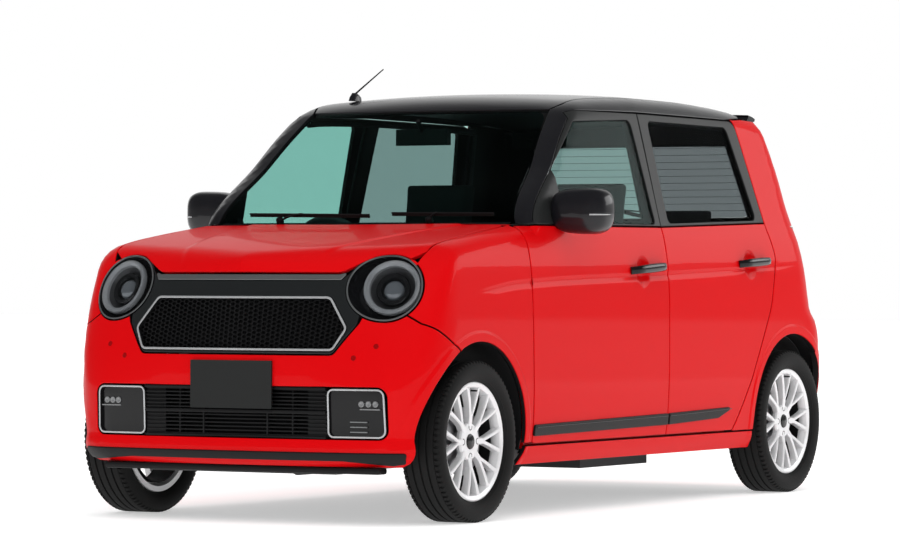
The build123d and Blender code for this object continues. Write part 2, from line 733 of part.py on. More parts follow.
def rim(side, y):
    """Barrel, spokes, hub and brake disc of one wheel; side is +1 on the left."""
    x = side * track / 2
    place = lambda p: (x + side * p[0], y, tyre_radius + p[1])
    lip, depth = rim_lip_radius, rim_face_x
    flange = bead_half + 6
    barrel = [(-flange - 8, rim_radius - 10, 0), (-flange - 8, lip, 2), (-flange, lip, 2),
              (-flange, rim_radius, 2), (flange, rim_radius, 2), (flange, lip, 2),
              (flange + 8, lip, 2), (flange + 8, rim_radius - 8, 2), (flange, rim_radius - 10, 0)]
    axis = Axis((x, y, tyre_radius), (1, 0, 0))
    pieces = [revolve(face_of(barrel, place), axis)]
    hub = [(depth - 22, hub_bore_radius, 0), (depth - 22, 74, 0), (depth + 2, 66, 0),
           (depth + 8, 30, 0), (depth + 8, 0, 0), (depth, 0, 0), (depth, hub_bore_radius, 0)]
    pieces.append(revolve(face_of(hub, place), axis))
    boss = [(-30, hub_bore_radius, 0), (-30, 60, 0), (depth - 20, 60, 0), (depth - 20, hub_bore_radius, 0)]
    pieces.append(revolve(face_of(boss, place), axis))
    disc = [(-22, 40, 0), (-22, disc_radius, 0), (-2, disc_radius, 0), (-2, 40, 0)]
    pieces.append(revolve(face_of(disc, place), axis))
    for i in range(spoke_pairs):
        root = 360.0 / spoke_pairs * i + 90
        for lean in (-11.25, 11.25):
            pieces.append(spoke(x, y, side, root, root + lean))
    return joined(pieces)


def spoke(x, y, side, root, tip):
    """One bar from the hub at angle root to the rim at angle tip."""
    near, far = 58.0, rim_radius - 5
    a, b = math.radians(root), math.radians(tip)
    start = (near * math.cos(a), near * math.sin(a))
    end = (far * math.cos(b), far * math.sin(b))
    dx, dy, size = unit(start, end)
    w = spoke_width / 2
    corners = [(start[0] - dy * w, start[1] + dx * w), (end[0] - dy * w, end[1] + dx * w),
               (end[0] + dy * w, end[1] - dx * w), (start[0] + dy * w, start[1] - dx * w)]
    x_from = x + side * (rim_face_x - 16)
    points = [(y + u, tyre_radius + v, 0) for u, v in corners]
    return prism_x(points, x_from, x + side * (rim_face_x + 4))


# ---------------------------------------------------------------- inside
def front_seat(x):
    cushion = prism_x([(-330, 300, 20), (160, 270, 20), (160, 400, 50), (-340, 440, 50)],
                      x - 250, x + 250)
    back = prism_x([(110, 330, 30), (230, 330, 40), (330, 960, 50), (230, 985, 50)], x - 235, x + 235)
    head = prism_x([(262, 1000, 30), (352, 985, 30), (372, 1160, 40), (288, 1175, 40)],
                   x - 120, x + 120)
    stem = prism_x([(285, 940, 0), (310, 940, 0), (325, 1010, 0), (300, 1010, 0)], x - 60, x + 60)
    base = block(x - 210, x + 210, -260, 150, floor_z + floor_wall + seat_gap, 310)
    return joined([cushion, back, head, stem, base])


def rear_seat():
    low = 490 + seat_gap
    cushion = prism_x([(790, low, 20), (1240, low, 20), (1240, 590, 40), (770, 620, 50)], -455, 455)
    back = prism_x([(1180, low, 20), (1290, low, 40), (1370, 990, 40), (1270, 1000, 50)], -455, 455)
    pieces = [cushion, back]
    for x in (-230, 230):
        pieces.append(prism_x([(1290, 960, 20), (1350, 960, 20), (1372, 1110, 30), (1306, 1115, 30)],
                              x - 110, x + 110))
    return joined(pieces)


def dashboard():
    points = [(-811.7, 560, 0), (-700, 560, 40), (-560, 700, 60), (-545, 900, 60), (-620, 985, 60),
              (-811.7, 1000, 0)]
    bar = prism_x(points, -620, 620)
    inside = hull(share=1.0, extra=4.0)
    column = Solid.make_cylinder(30, 150, steering_plane().offset(-40 - seat_gap - 150))
    return biggest((bar + column) & inside)


def steering_wheel():
    """Rim, three spokes and hub about the leaning column."""
    r, w = steering_wheel_radius, steering_grip / 2
    grip = [(r - 2 * w, -w, 9), (r, -w, 9), (r, w, 9), (r - 2 * w, w, 9)]
    ring = revolve(face_of(grip, lambda p: (p[0], 0, p[1])), Axis.Z)
    hub = Solid.make_cylinder(62, 44, Plane((0, 0, -40)))
    wheel = ring + hub
    for angle in (12, 168, 270):
        a = math.radians(angle)
        tip = (math.cos(a) * (r - w), math.sin(a) * (r - w), 0)
        wheel = wheel + rod((0, 0, -12), tip, 10)
    return steering_plane().location * wheel


def steering_plane():
    lean = math.radians(steering_tilt)
    return Plane(origin=(steering_wheel_x, steering_wheel_y, steering_wheel_z),
                 x_dir=(1, 0, 0), z_dir=(0, math.cos(lean), math.sin(lean)))


def room_mirror():
    """The mirror on its stem, square to the windscreen's inner face."""
    low, high = SECTIONS[-6], SECTIONS[-5]
    rise, run = high[0] - low[0], high[1] - low[1]
    size = math.hypot(rise, run)
    normal = Vector(0, rise / size, -run / size)
    z = 1425.0
    foot = Vector(0, section_at(z, 1) + glass_depth + glass_wall, z) + normal * (seat_gap + 0.1)
    head = foot + normal * 62
    glass = block(-110, 110, head.Y - 14, head.Y + 12, head.Z - 44, head.Z + 16)
    return joined([glass, rod(tuple(foot), tuple(head), 9)])


def wipers():
    """Two arms low on the windscreen."""
    pieces = []
    for x, base, reach, tip in ((-330, -848, 460, -855), (330, -848, 300, -814)):
        spindle = drum_z(x, wiper_y, 985 + seat_gap, 1028, 8)
        low = rod((x, wiper_y, 1024), (x - 30, base, 1052), 7)
        blade = rod((x - 30, base, 1052), (x - 30 + reach, tip, 1056), 6)
        pieces.append(joined([spindle, low, blade]))
    return pieces


def number_plate(y, z, lean):
    """A blank plate whose back lies at (y, z), leaning by an angle from upright."""
    plate = Box(330, plate_thickness - seat_gap, 165)
    return Pos(0, y, z) * Rot(lean, 0, 0) * plate


# ---------------------------------------------------------------- write the pieces
glass_layer = hull(extra=glass_depth) - hull(extra=glass_depth + glass_wall)


def save(name, shape):
    solids = solids_of(shape)
    whole = solids[0] if len(solids) == 1 else Compound(children=solids)
    export_step(whole, f"parts/{name}.step")
    print(name, len(solids), round(sum(s.volume for s in solids) / 1e6, 2),
          all(s.is_valid for s in solids))


def pair(shape):
    return Compound(children=solids_of(shape) + solids_of(mirrored(shape)))


def main():
    os.makedirs("parts", exist_ok=True)
    frame, fender = side_frame() + pillar_inner(), wing()
    door_f, door_r = front_door(), rear_door()
    pane_f, pane_r = door_glass(FRONT_WINDOW), door_glass(REAR_WINDOW)
    for suffix, place in (("left", lambda s: s), ("right", mirrored)):
        save(f"side_frame_{suffix}", place(frame))
        save(f"front_door_{suffix}", place(door_f))
        save(f"rear_door_{suffix}", place(door_r))
        save(f"front_door_glass_{suffix}", place(pane_f))
        save(f"rear_door_glass_{suffix}", place(pane_r))
        save(f"steering_knuckle_{suffix}", place(knuckle()))
        side = 1 if suffix == "left" else -1
        for end, axle in (("front", front_axle_y), ("rear", rear_axle_y)):
            save(f"{end}_tyre_{suffix}", tyre(side * track / 2, axle))
            save(f"{end}_rim_{suffix}", rim(side, axle))
    save("front_wings", pair(fender))
    save("roof_panel", roof_panel())
    save("windscreen", windscreen())
    save("bonnet", bonnet())
    save("front_bumper", front_bumper())
    save("grille_panel", grille_panel())
    save("lower_grille", lower_grille())
    save("headlamps", pair(headlamp()))
    save("fog_lamps", pair(fog_lamp()))
    save("rear_bumper", rear_bumper())
    save("tail_lamps", pair(tail_lamp()))
    save("tailgate", tailgate())
    save("tailgate_glass", tailgate_glass())
    save("rear_spoiler", rear_spoiler())
    save("floor_pan", floor_pan())
    save("front_subframe", front_subframe())
    save("front_struts", pair(front_strut()))
    save("rear_axle", rear_axle())
    save("exhaust", exhaust())
    save("engine_block", block(-300, 250, -1500, -1010, 300, 790))
    save("fuel_tank", block(-120, 380, 150, 700, 128, floor_z - seat_gap))
    save("front_seats", pair(front_seat(330)))
    save("rear_seat", rear_seat())
    save("dashboard", dashboard())
    save("steering_wheel", steering_wheel())
    save("room_mirror", room_mirror())
    save("wipers", Compound(children=[s for w in wipers() for s in solids_of(w)]))
    half = (plate_thickness - seat_gap) / 2
    save("front_plate", number_plate(half - body_length / 2, 478, 0))
    save("rear_plate", number_plate(1574 + half + 2, 870, 14.2))


main()
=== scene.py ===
# %% [markdown]
# # A five-door kei car
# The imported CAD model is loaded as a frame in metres: X to the car's left, Y to the tail, Z up.
# The painted panels, glass, lamps, trim, wheels and cabin are then built round it and ride on its bodies.
# Lengths in the outlines are millimetres, because the part's own driving sizes are.
# %% Start
import math
import bmesh
import bpy
import numpy as np
from mathutils import Matrix, Vector
from mathutils.geometry import delaunay_2d_cdt


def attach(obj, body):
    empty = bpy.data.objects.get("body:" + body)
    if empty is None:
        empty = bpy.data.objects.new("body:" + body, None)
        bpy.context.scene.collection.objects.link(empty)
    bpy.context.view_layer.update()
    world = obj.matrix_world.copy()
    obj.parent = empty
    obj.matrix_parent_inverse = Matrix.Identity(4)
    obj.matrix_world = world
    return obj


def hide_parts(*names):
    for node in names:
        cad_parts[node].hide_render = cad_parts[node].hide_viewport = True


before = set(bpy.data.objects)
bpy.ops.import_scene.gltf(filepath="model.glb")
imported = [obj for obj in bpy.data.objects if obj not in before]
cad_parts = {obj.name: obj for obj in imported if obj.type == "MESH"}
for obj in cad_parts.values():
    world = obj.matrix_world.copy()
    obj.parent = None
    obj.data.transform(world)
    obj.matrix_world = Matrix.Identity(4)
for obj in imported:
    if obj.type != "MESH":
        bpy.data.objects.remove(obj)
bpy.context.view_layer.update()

MM = 0.001
FRONT_AXLE_Y, REAR_AXLE_Y = -1252.5, 1267.5
WHEEL_Z, WHEEL_X = 280.0, 652.5
ARCH_Z, ARCH_RADIUS = 288.0, 335.0
LAMP_CENTRE = np.array([541.0, -1552.0, 812.0])
LAMP_RADIUS = 124.0
SPLIT_Y = 190.0
HANDLE_CUPS = ((-12.0, 868.0), (897.0, 897.0))
SIDES = (("left", 1), ("right", -1))

# %% [markdown]
# ## Materials
# Every finish is procedural: one maker covers paint, plastic, metal, rubber and cloth. Where a surface has a
# fine grain, a noise on object coordinates drives a bump, so it stays put when the piece moves.
# %% Materials
def finish(name, colour, rough, metal=0.0, coat=0.0, grain=0.0, scale=900.0, shine=0.5, glow=0.0):
    """A principled material; grain is the depth of a fine procedural bump."""
    m = bpy.data.materials.new(name)
    m.use_nodes = True
    tree = m.node_tree
    shader = tree.nodes["Principled BSDF"]
    shader.inputs["Base Color"].default_value = (*colour, 1.0)
    shader.inputs["Roughness"].default_value = rough
    shader.inputs["Metallic"].default_value = metal
    shader.inputs["Specular IOR Level"].default_value = shine
    shader.inputs["Coat Weight"].default_value = coat
    shader.inputs["Coat Roughness"].default_value = 0.03
    if glow:
        shader.inputs["Emission Color"].default_value = (*colour, 1.0)
        shader.inputs["Emission Strength"].default_value = glow
    if grain:
        place = tree.nodes.new("ShaderNodeTexCoord")
        noise = tree.nodes.new("ShaderNodeTexNoise")
        bump = tree.nodes.new("ShaderNodeBump")
        noise.inputs["Scale"].default_value = scale
        bump.inputs["Strength"].default_value = grain
        bump.inputs["Distance"].default_value = 0.001
        tree.links.new(place.outputs["Object"], noise.inputs["Vector"])
        tree.links.new(noise.outputs["Fac"], bump.inputs["Height"])
        tree.links.new(bump.outputs["Normal"], shader.inputs["Normal"])
    return m

# %% [markdown]
# ## Glass
# A side window is a thin tinted sheet. A real refracting solid would need many bounces, so the pane is a
# clear tint mixed with a mirror, and the mirror grows at a glancing angle as it does on a real pane.
# %% Window glass
def window_glass(name, tint, mirror, glance=0.15):
    """A thin pane: tinted and clear head on, more of a mirror at a glancing angle."""
    m = bpy.data.materials.new(name)
    m.use_nodes = True
    tree = m.node_tree
    tree.nodes.clear()
    out = tree.nodes.new("ShaderNodeOutputMaterial")
    mix = tree.nodes.new("ShaderNodeMixShader")
    clear = tree.nodes.new("ShaderNodeBsdfTransparent")
    gloss = tree.nodes.new("ShaderNodeBsdfGlossy")
    facing = tree.nodes.new("ShaderNodeLayerWeight")
    sharp = tree.nodes.new("ShaderNodeMath")
    sharp.operation = "POWER"
    sharp.inputs[1].default_value = 5.0
    more = tree.nodes.new("ShaderNodeMath")
    more.operation = "MULTIPLY_ADD"
    more.use_clamp = True
    more.inputs[1].default_value = glance
    more.inputs[2].default_value = mirror
    facing.inputs["Blend"].default_value = 0.5
    clear.inputs["Color"].default_value = (*tint, 1.0)
    gloss.inputs["Roughness"].default_value = 0.0
    gloss.inputs["Color"].default_value = (0.9, 0.93, 0.93, 1.0)
    tree.links.new(facing.outputs["Facing"], sharp.inputs[0])
    tree.links.new(sharp.outputs[0], more.inputs[0])
    tree.links.new(more.outputs[0], mix.inputs["Fac"])
    tree.links.new(clear.outputs[0], mix.inputs[1])
    tree.links.new(gloss.outputs[0], mix.inputs[2])
    tree.links.new(mix.outputs[0], out.inputs["Surface"])
    return m

# %% [markdown]
# ## The palette
# One name for each finish of this car: two paints and a shade of the red, satin and gloss blacks, metals,
# lamp parts, rubber, cloth and three kinds of glass. Colours are linear.
# %% Palette
RED = finish("paint_red", (0.64, 0.0022, 0.0040), 0.4, coat=0.13, shine=0.03)
BLACK = finish("paint_black", (0.007, 0.007, 0.009), 0.35, coat=0.45, shine=0.2)
RED_SHADE = finish("paint_red_shade", (0.28, 0.001, 0.002), 0.5, shine=0.1)
SATIN = finish("satin_black", (0.016, 0.017, 0.017), 0.5, shine=0.3)
INNER = finish("inner_black", (0.005, 0.005, 0.0055), 0.6, shine=0.2)
PLASTIC = finish("dark_plastic", (0.006, 0.006, 0.0065), 0.5, grain=0.25, shine=0.22)
GLOSS_PLASTIC = finish("gloss_plastic", (0.006, 0.006, 0.0065), 0.2, coat=0.2, shine=0.2)
GARNISH = finish("garnish_grey", (0.015, 0.017, 0.018), 0.3, metal=0.3, coat=0.4, shine=0.3)
GARNISH_LIGHT = finish("garnish_light", (0.2, 0.21, 0.215), 0.28, metal=0.7, coat=0.5)
CHROME = finish("chrome", (0.46, 0.47, 0.48), 0.22, metal=0.35, coat=0.6)
LENS_RING = finish("lens_ring", (0.22, 0.225, 0.23), 0.35, metal=0.2, coat=0.6)
BEZEL = finish("lamp_bezel", (0.006, 0.006, 0.007), 0.25, coat=0.4, shine=0.3)
TAIL_RED = finish("tail_red", (0.30, 0.003, 0.005), 0.3, coat=0.35, shine=0.2)
TAIL_DARK = finish("tail_dark", (0.06, 0.003, 0.004), 0.15, coat=1.0)
RUBBER = finish("rubber", (0.006, 0.006, 0.006), 0.75, grain=0.4, scale=600.0, shine=0.25)
ALLOY = finish("alloy_silver", (0.80, 0.80, 0.81), 0.38, metal=0.35, coat=0.3)
STEEL = finish("dark_steel", (0.05, 0.05, 0.052), 0.5, metal=0.6)
DISC = finish("brake_disc", (0.3, 0.3, 0.31), 0.35, metal=1.0)
CHASSIS = finish("chassis_black", (0.02, 0.02, 0.021), 0.6)
ENGINE = finish("engine_grey", (0.2, 0.2, 0.205), 0.5, metal=0.6, grain=0.4, scale=300.0)
CLOTH = finish("seat_cloth", (0.022, 0.022, 0.024), 0.85, grain=1.0, scale=1400.0)
TRIM = finish("cabin_trim", (0.03, 0.03, 0.032), 0.6, grain=0.4, scale=700.0)
PLATE = finish("plate_grey", (0.012, 0.013, 0.0128), 0.5, shine=0.3)
LAMP_GLASS = window_glass("lamp_glass", (0.95, 0.96, 0.97), 0.01)
GLASS = window_glass("green_glass", (0.665, 0.83, 0.80), 0.004)
DARK_GLASS = window_glass("dark_glass", (0.59, 0.615, 0.62), 0.0015, 0.0)

# %% [markdown]
# ## The form of the body
# One function gives the signed distance to the outer skin in millimetres, negative inside. It joins a few
# smooth surfaces: flank, nose, bonnet, windscreen, roof and tail. Each surface follows a table of heights or
# lengths, and a soft maximum rounds the edges between them. All the panels are cut from this one form, so
# neighbours always agree.
# %% Smooth curves
def through(table):
    """A curve through the table's points with no overshoot, straight beyond its ends."""
    xs, ys = np.array(sorted(table), float).T
    step, slope = np.diff(xs), np.diff(ys) / np.diff(xs)
    m = np.zeros(len(xs))
    m[0], m[-1] = slope[0], slope[-1]
    for i in range(1, len(xs) - 1):
        if slope[i - 1] * slope[i] > 0:
            w1, w2 = 2 * step[i] + step[i - 1], step[i] + 2 * step[i - 1]
            m[i] = (w1 + w2) / (w1 / slope[i - 1] + w2 / slope[i])

    def value(t):
        t = np.asarray(t, float)
        inside = np.clip(t, xs[0], xs[-1])
        i = np.clip(np.searchsorted(xs, inside) - 1, 0, len(xs) - 2)
        s, h = (inside - xs[i]) / step[i], step[i]
        y = (ys[i] * (1 + 2 * s) * (1 - s) ** 2 + ys[i + 1] * s * s * (3 - 2 * s)
             + h * m[i] * s * (1 - s) ** 2 + h * m[i + 1] * s * s * (s - 1))
        return y + np.where(t < xs[0], (t - xs[0]) * m[0], 0) + np.where(t > xs[-1], (t - xs[-1]) * m[-1], 0)
    return value


def soft_max(a, b, k):
    """The larger of a and b, blended over a width k where they meet."""
    return np.maximum(a, b) + np.maximum(k - np.abs(a - b), 0) ** 2 / (4 * k)


def soft_step(t):
    """Runs from 0 to 1 as t does, level at both ends."""
    t = np.clip(t, 0, 1)
    return t * t * (3 - 2 * t)

# %% [markdown]
# ## The tables of the body
# Each table holds (height or length, value) pairs in millimetres. The car is narrow at the roof and full at
# the waist, its nose and tail are nearly upright, and a long crease runs along the flank through both door
# handles.
# %% Tables of the body
half_width = through([(182, 688), (236, 716), (320, 729), (478, 736.5), (600, 737.5), (720, 737.5),
                      (860, 733), (922, 726), (957, 720), (1000, 711), (1034, 701), (1262, 646), (1457, 598),
                      (1500, 585), (1560, 566)])
nose_y = through([(182, -1618), (215, -1676), (246, -1694), (256, -1695), (300, -1684), (478, -1690),
                  (600, -1688), (660, -1682), (720, -1674), (860, -1652), (895, -1646), (911, -1640),
                  (930, -1622), (1000, -1560)])
bonnet_z = through([(-1660, 905), (-1592, 925), (-1440, 957), (-1150, 1000), (-868, 1034)])
screen_y = through([(900, -868), (1034, -866), (1262, -616), (1457, -400), (1545, -303)])
roof_z = through([(-400, 1462), (-323, 1500), (-150, 1527), (100, 1541), (250, 1545), (600, 1543),
                  (900, 1532), (1127, 1515), (1290, 1500)])
tail_y = through([(182, 1630), (236, 1672), (320, 1692), (478, 1697.5), (600, 1693), (660, 1672), (720, 1612),
                  (860, 1576), (922, 1562), (1000, 1540), (1034, 1528), (1262, 1436), (1457, 1325),
                  (1500, 1296), (1545, 1262)])
tail_round = through([(900, 190), (1100, 180), (1262, 130), (1480, 60)])
crease_z = through([(-1258, 804), (-972, 836), (160, 869), (1320, 902)])
crease_depth = through([(-1300, 0), (-1262, 1), (-1000, 10), (200, 10), (900, 7), (1290, 0.5), (1330, 0)])
crease_height = through([(-1300, 10), (-1100, 30), (200, 34), (1320, 14)])
bulge_x = through([(-1640, 250), (-1500, 300), (-870, 440)])
LAMP_TILT, LAMP_TOE = math.radians(24), math.radians(14)
LAMP_N = np.array([math.sin(LAMP_TOE) * math.cos(LAMP_TILT), -math.cos(LAMP_TOE) * math.cos(LAMP_TILT),
                   math.sin(LAMP_TILT)])

# %% [markdown]
# ## The body's form
# The relief of the flank is added to its surface first: lips round the wheel arches, the crease, and a cup
# behind each handle. Then nose, flank, bonnet, lamp face, screen, roof and tail are joined by soft maxima.
# %% Body form
def flank_relief(y, z):
    """How far the flank stands out: the wheel arch lips, less the long crease."""
    out = np.zeros_like(y)
    for axle in (FRONT_AXLE_Y, REAR_AXLE_Y):
        r = np.hypot(y - axle, z - ARCH_Z)
        out += 4.0 * (1 - soft_step((r - 366) / 12))
    drop = crease_z(y) - z
    groove = np.clip(drop / 15.0, 0, 1) * (1 - soft_step(drop / crease_height(y)))
    for cup_y, cup_z in HANDLE_CUPS:
        r = np.hypot(y - cup_y, z - cup_z) / 58
        out -= 16.0 * np.clip(1 - r * r, 0, 1) ** 1.5
    return out - np.maximum(crease_depth(y), 0) * groove


def body(p):
    """Signed distance of points p to the outer skin in millimetres, negative inside."""
    x, y, z = np.abs(p[:, 0]), p[:, 1], p[:, 2]
    flank = x - half_width(z) - flank_relief(y, z)
    nose = nose_y(z) + x * x / 8400 - y
    bonnet = z - bonnet_z(y) - 5.0 * (1 - soft_step((x - bulge_x(y) + 8) / 26))
    corner = soft_max(flank, nose, 200)
    lamp = (np.stack([x, y, z], 1) - LAMP_CENTRE) @ LAMP_N
    front = soft_max(corner, bonnet, 22 + 60 * soft_step((x - 330) / 300))
    front = soft_max(front, lamp, 60)
    screen = 0.67 * (screen_y(z) + x * x / 6200 - y)
    roof = z - roof_z(y) + 24 * (x / 560) ** 2
    cabin = soft_max(soft_max(flank, screen, 44), roof, 70)
    tail = y - tail_y(z) + x * x / 8400
    return soft_max(np.minimum(front, cabin), tail, np.clip(tail_round(z), 60, 190))


# %% [markdown]
# ## Projections
# A panel's outline is drawn in whichever view shows it best: side, front, rear, top, or along the lamp's
# axis. A point of the outline is lifted along that view's rays to the skin, then dropped into the panel's own
# view, where the panel is meshed. Two of the views are cylinders, because bumpers wrap round corners.
# %% Views
def unit(v):
    """v at length 1."""
    v = np.asarray(v, float)
    return v / np.linalg.norm(v)


class Flat:
    """Parallel rays along w. The rays start on the plane through core across the axis."""
    def __init__(self, u, w, core=(0, 0, 500), axis=None):
        self.u, self.w = unit(u), unit(w)
        self.v = np.cross(self.w, self.u)
        self.core, self.axis = np.array(core, float), unit(self.w if axis is None else axis)

    def drop(self, p):
        return np.stack([p @ self.u, p @ self.v], 1)

    def rays(self, q):
        start = q[:, :1] * self.u + q[:, 1:] * self.v
        t = ((self.core - start) @ self.axis) / (self.w @ self.axis)
        return start + t[:, None] * self.w, np.broadcast_to(self.w, (len(q), 3))


class Round:
    """Rays out from an upright axis at y. u is the arc at a set radius and v the height."""
    def __init__(self, y, radius=800.0):
        self.y, self.radius = y, radius

    def drop(self, p):
        return np.stack([self.radius * np.arctan2(p[:, 1] - self.y, p[:, 0]), p[:, 2]], 1)

    def rays(self, q):
        a = q[:, 0] / self.radius
        start = np.stack([np.zeros(len(q)), np.full(len(q), self.y), q[:, 1]], 1)
        return start, np.stack([np.cos(a), np.sin(a), np.zeros(len(q))], 1)

# %% [markdown]
# ## The views in use
# Every outline below names one of these. The wing, pillar, bonnet and roof views look at their panels
# squarely, because a panel that is seen edge on gets stretched triangles.
# %% Views in use
VIEWS = {
    "side": Flat((0, 1, 0), (1, 0, 0), (0, 0, 0)),
    "front": Flat((1, 0, 0), (0, -1, 0), (0, 0, 0)),
    "rear": Flat((-1, 0, 0), (0, 1, 0), (0, 0, 0)),
    "top": Flat((1, 0, 0), (0, 0, 1), (0, 0, 500)),
    "bonnet": Flat((1, 0, 0), (0, -0.6, 0.8), (0, -900, 700)),
    "roof": Flat((1, 0, 0), (0, -0.25, 0.97), (0, 300, 1200)),
    "lamp": Flat((math.cos(LAMP_TOE), math.sin(LAMP_TOE), 0), LAMP_N, (400, -1400, 800)),
    "wing": Flat((0.55, 1, 0), (1, -0.55, 0.45), (350, 0, 0), (1, 0, 0)),
    "pillar": Flat((0.35, 1, 0), (0.8, -0.28, 0.62), (300, 0, 1000), (0.8, 0, 0.62)),
    "nose": Round(-700.0), "tail": Round(700.0),
}
REACH = 1900.0


def skin_at(view, q):
    """The points of the skin that the view shows at q."""
    start, way = VIEWS[view].rays(np.asarray(q, float))
    low, high = np.zeros(len(start)), np.full(len(start), REACH)
    for _ in range(24):
        mid = (low + high) / 2
        inside = body(start + mid[:, None] * way) < 0
        low, high = np.where(inside, mid, low), np.where(inside, high, mid)
    return start + low[:, None] * way


def normals_at(p, h=1.0):
    """Outward normals of the form at p, by differences over h."""
    g = np.stack([body(p + h * e) - body(p - h * e) for e in np.eye(3)], 1)
    return g / np.linalg.norm(g, axis=1)[:, None]

# %% [markdown]
# ## Outlines
# An outline is a short list of corners, some with a radius. It becomes a dense ring, and runs drawn in
# different views are joined into one ring in the view where the panel is meshed.
# %% Outlines
def rounded(points, closed=True, pitch=12.0):
    """Points of (u, v) or (u, v, radius) as a dense line with tangent corner arcs."""
    pts = [tuple(p) + (0.0,) * (3 - len(p)) for p in points]
    out, n = [], len(pts)
    for i, (u, v, r) in enumerate(pts):
        here = np.array([u, v])
        if r <= 0 or (not closed and i in (0, n - 1)):
            out.append(here)
            continue
        a, b = np.array(pts[i - 1][:2]) - here, np.array(pts[(i + 1) % n][:2]) - here
        la, lb = np.linalg.norm(a), np.linalg.norm(b)
        a, b = a / la, b / lb
        half = 0.5 * math.acos(float(np.clip(a @ b, -1, 1)))
        cut = min(r / math.tan(half), 0.49 * la, 0.49 * lb)
        r = cut * math.tan(half)
        centre = here + unit(a + b) * r / math.sin(half)
        s, e = here + a * cut - centre, here + b * cut - centre
        turn = math.atan2(s[0] * e[1] - s[1] * e[0], float(s @ e))
        steps = max(2, int(abs(turn) * r / 8) + 1)
        for k in range(steps + 1):
            c, sn = math.cos(turn * k / steps), math.sin(turn * k / steps)
            out.append(centre + np.array([c * s[0] - sn * s[1], sn * s[0] + c * s[1]]))
    dense = []
    last = len(out) if closed else len(out) - 1
    for i in range(last):
        a, b = out[i], out[(i + 1) % len(out)]
        parts = max(1, int(np.linalg.norm(b - a) / pitch + 0.5))
        dense += [a + (b - a) * k / parts for k in range(parts)]
    if not closed:
        dense.append(out[-1])
    return np.array(dense)


def without_doubles(ring, least=0.8):
    """The ring without points that lie closer than least to the one before."""
    return ring[np.linalg.norm(ring - np.roll(ring, 1, 0), axis=1) > least]


def turned_left(ring):
    """The ring read against the clock."""
    area = np.sum(ring[:, 0] * np.roll(ring[:, 1], -1) - ring[:, 1] * np.roll(ring[:, 0], -1))
    return ring if area > 0 else ring[::-1]


def outline(target, *runs, pitch=12.0):
    """A closed ring in the target view from runs of (view, points)."""
    parts = []
    for view, points in runs:
        line = rounded(points, len(runs) == 1, pitch)
        parts.append(line if view == target else VIEWS[target].drop(skin_at(view, line)))
    return turned_left(without_doubles(np.concatenate(parts)))

# %% [markdown]
# ## Rings
# Three small tools for rings: one moved inwards for a shut line, a test of what lies inside, and the distance
# to the nearest point.
# %% Rings
def shrunk(ring, d):
    """The ring moved inwards by d, or outwards if d is negative."""
    ahead, back = np.roll(ring, -1, 0) - ring, ring - np.roll(ring, 1, 0)
    n1 = np.stack([-ahead[:, 1], ahead[:, 0]], 1) / np.linalg.norm(ahead, axis=1)[:, None]
    n2 = np.stack([-back[:, 1], back[:, 0]], 1) / np.linalg.norm(back, axis=1)[:, None]
    n = n1 + n2
    size = np.linalg.norm(n, axis=1)[:, None]
    n = n / np.maximum(size, 1e-6)
    return ring + n * d / np.maximum(size / 2, 0.6)


def inside_rings(q, rings):
    """Even-odd test of points against rings."""
    odd = np.zeros(len(q), bool)
    for ring in rings:
        a, b = ring, np.roll(ring, -1, 0)
        for s in range(0, len(q), 4000):
            p = q[s:s + 4000, None]
            cross = (a[:, 1] > p[..., 1]) != (b[:, 1] > p[..., 1])
            with np.errstate(divide="ignore", invalid="ignore"):
                x = a[:, 0] + (p[..., 1] - a[:, 1]) / (b[:, 1] - a[:, 1]) * (b[:, 0] - a[:, 0])
            odd[s:s + 4000] ^= (np.sum(cross & (p[..., 0] < x), 1) % 2).astype(bool)
    return odd


def near(q, r):
    """Each point's distance to the closest point of r."""
    if not len(r):
        return np.full(len(q), 1e9)
    out = np.empty(len(q))
    for s in range(0, len(q), 2000):
        out[s:s + 2000] = np.sqrt(((q[s:s + 2000, None] - r) ** 2).sum(2)).min(1)
    return out


# %% [markdown]
# ## Panels
# A panel is a triangulated sheet of the skin inside its outline, less its holes. Its edges roll over with a
# small radius, go straight in, and close on an inner sheet, so each panel has the thickness that shows at a
# shut line or through an open door. Normals come from the body form itself, which keeps reflections smooth.
# %% Panel builder
def linked(name, data):
    """A new object in the scene for a mesh, a lamp or a camera."""
    o = bpy.data.objects.new(name, data)
    bpy.context.scene.collection.objects.link(o)
    return o


def applied(o):
    """Puts the evaluated mesh in place of the object's own and drops its modifiers."""
    me = bpy.data.meshes.new_from_object(o.evaluated_get(bpy.context.evaluated_depsgraph_get()))
    o.modifiers.clear()
    o.data = me
    return me


def mesh_object(name, verts, faces, normals=None, materials=(), which=None, smooth=True):
    """A mesh in metres from millimetres. normals holds one vector for each face corner."""
    me = bpy.data.meshes.new(name)
    me.from_pydata([tuple(v * MM) for v in np.asarray(verts, float)], [],
                   [tuple(int(i) for i in f) for f in faces])
    for m in materials:
        me.materials.append(m)
    me.polygons.foreach_set("use_smooth", [smooth] * len(faces))
    if which is not None:
        me.polygons.foreach_set("material_index", which)
    if normals is not None:
        me.normals_split_custom_set([tuple(n) for n in normals])
    me.update()
    return linked(name, me)


def dress(o, body_name, slot, *nodes):
    """Rides on a body and stands for CAD nodes. The slot is not used."""
    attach(o, body_name)
    if nodes:
        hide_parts(*nodes)
    print(o.name, "on", body_name + ":", len(o.data.polygons), "faces",
          "for " + ", ".join(nodes) if nodes else "")
    return o

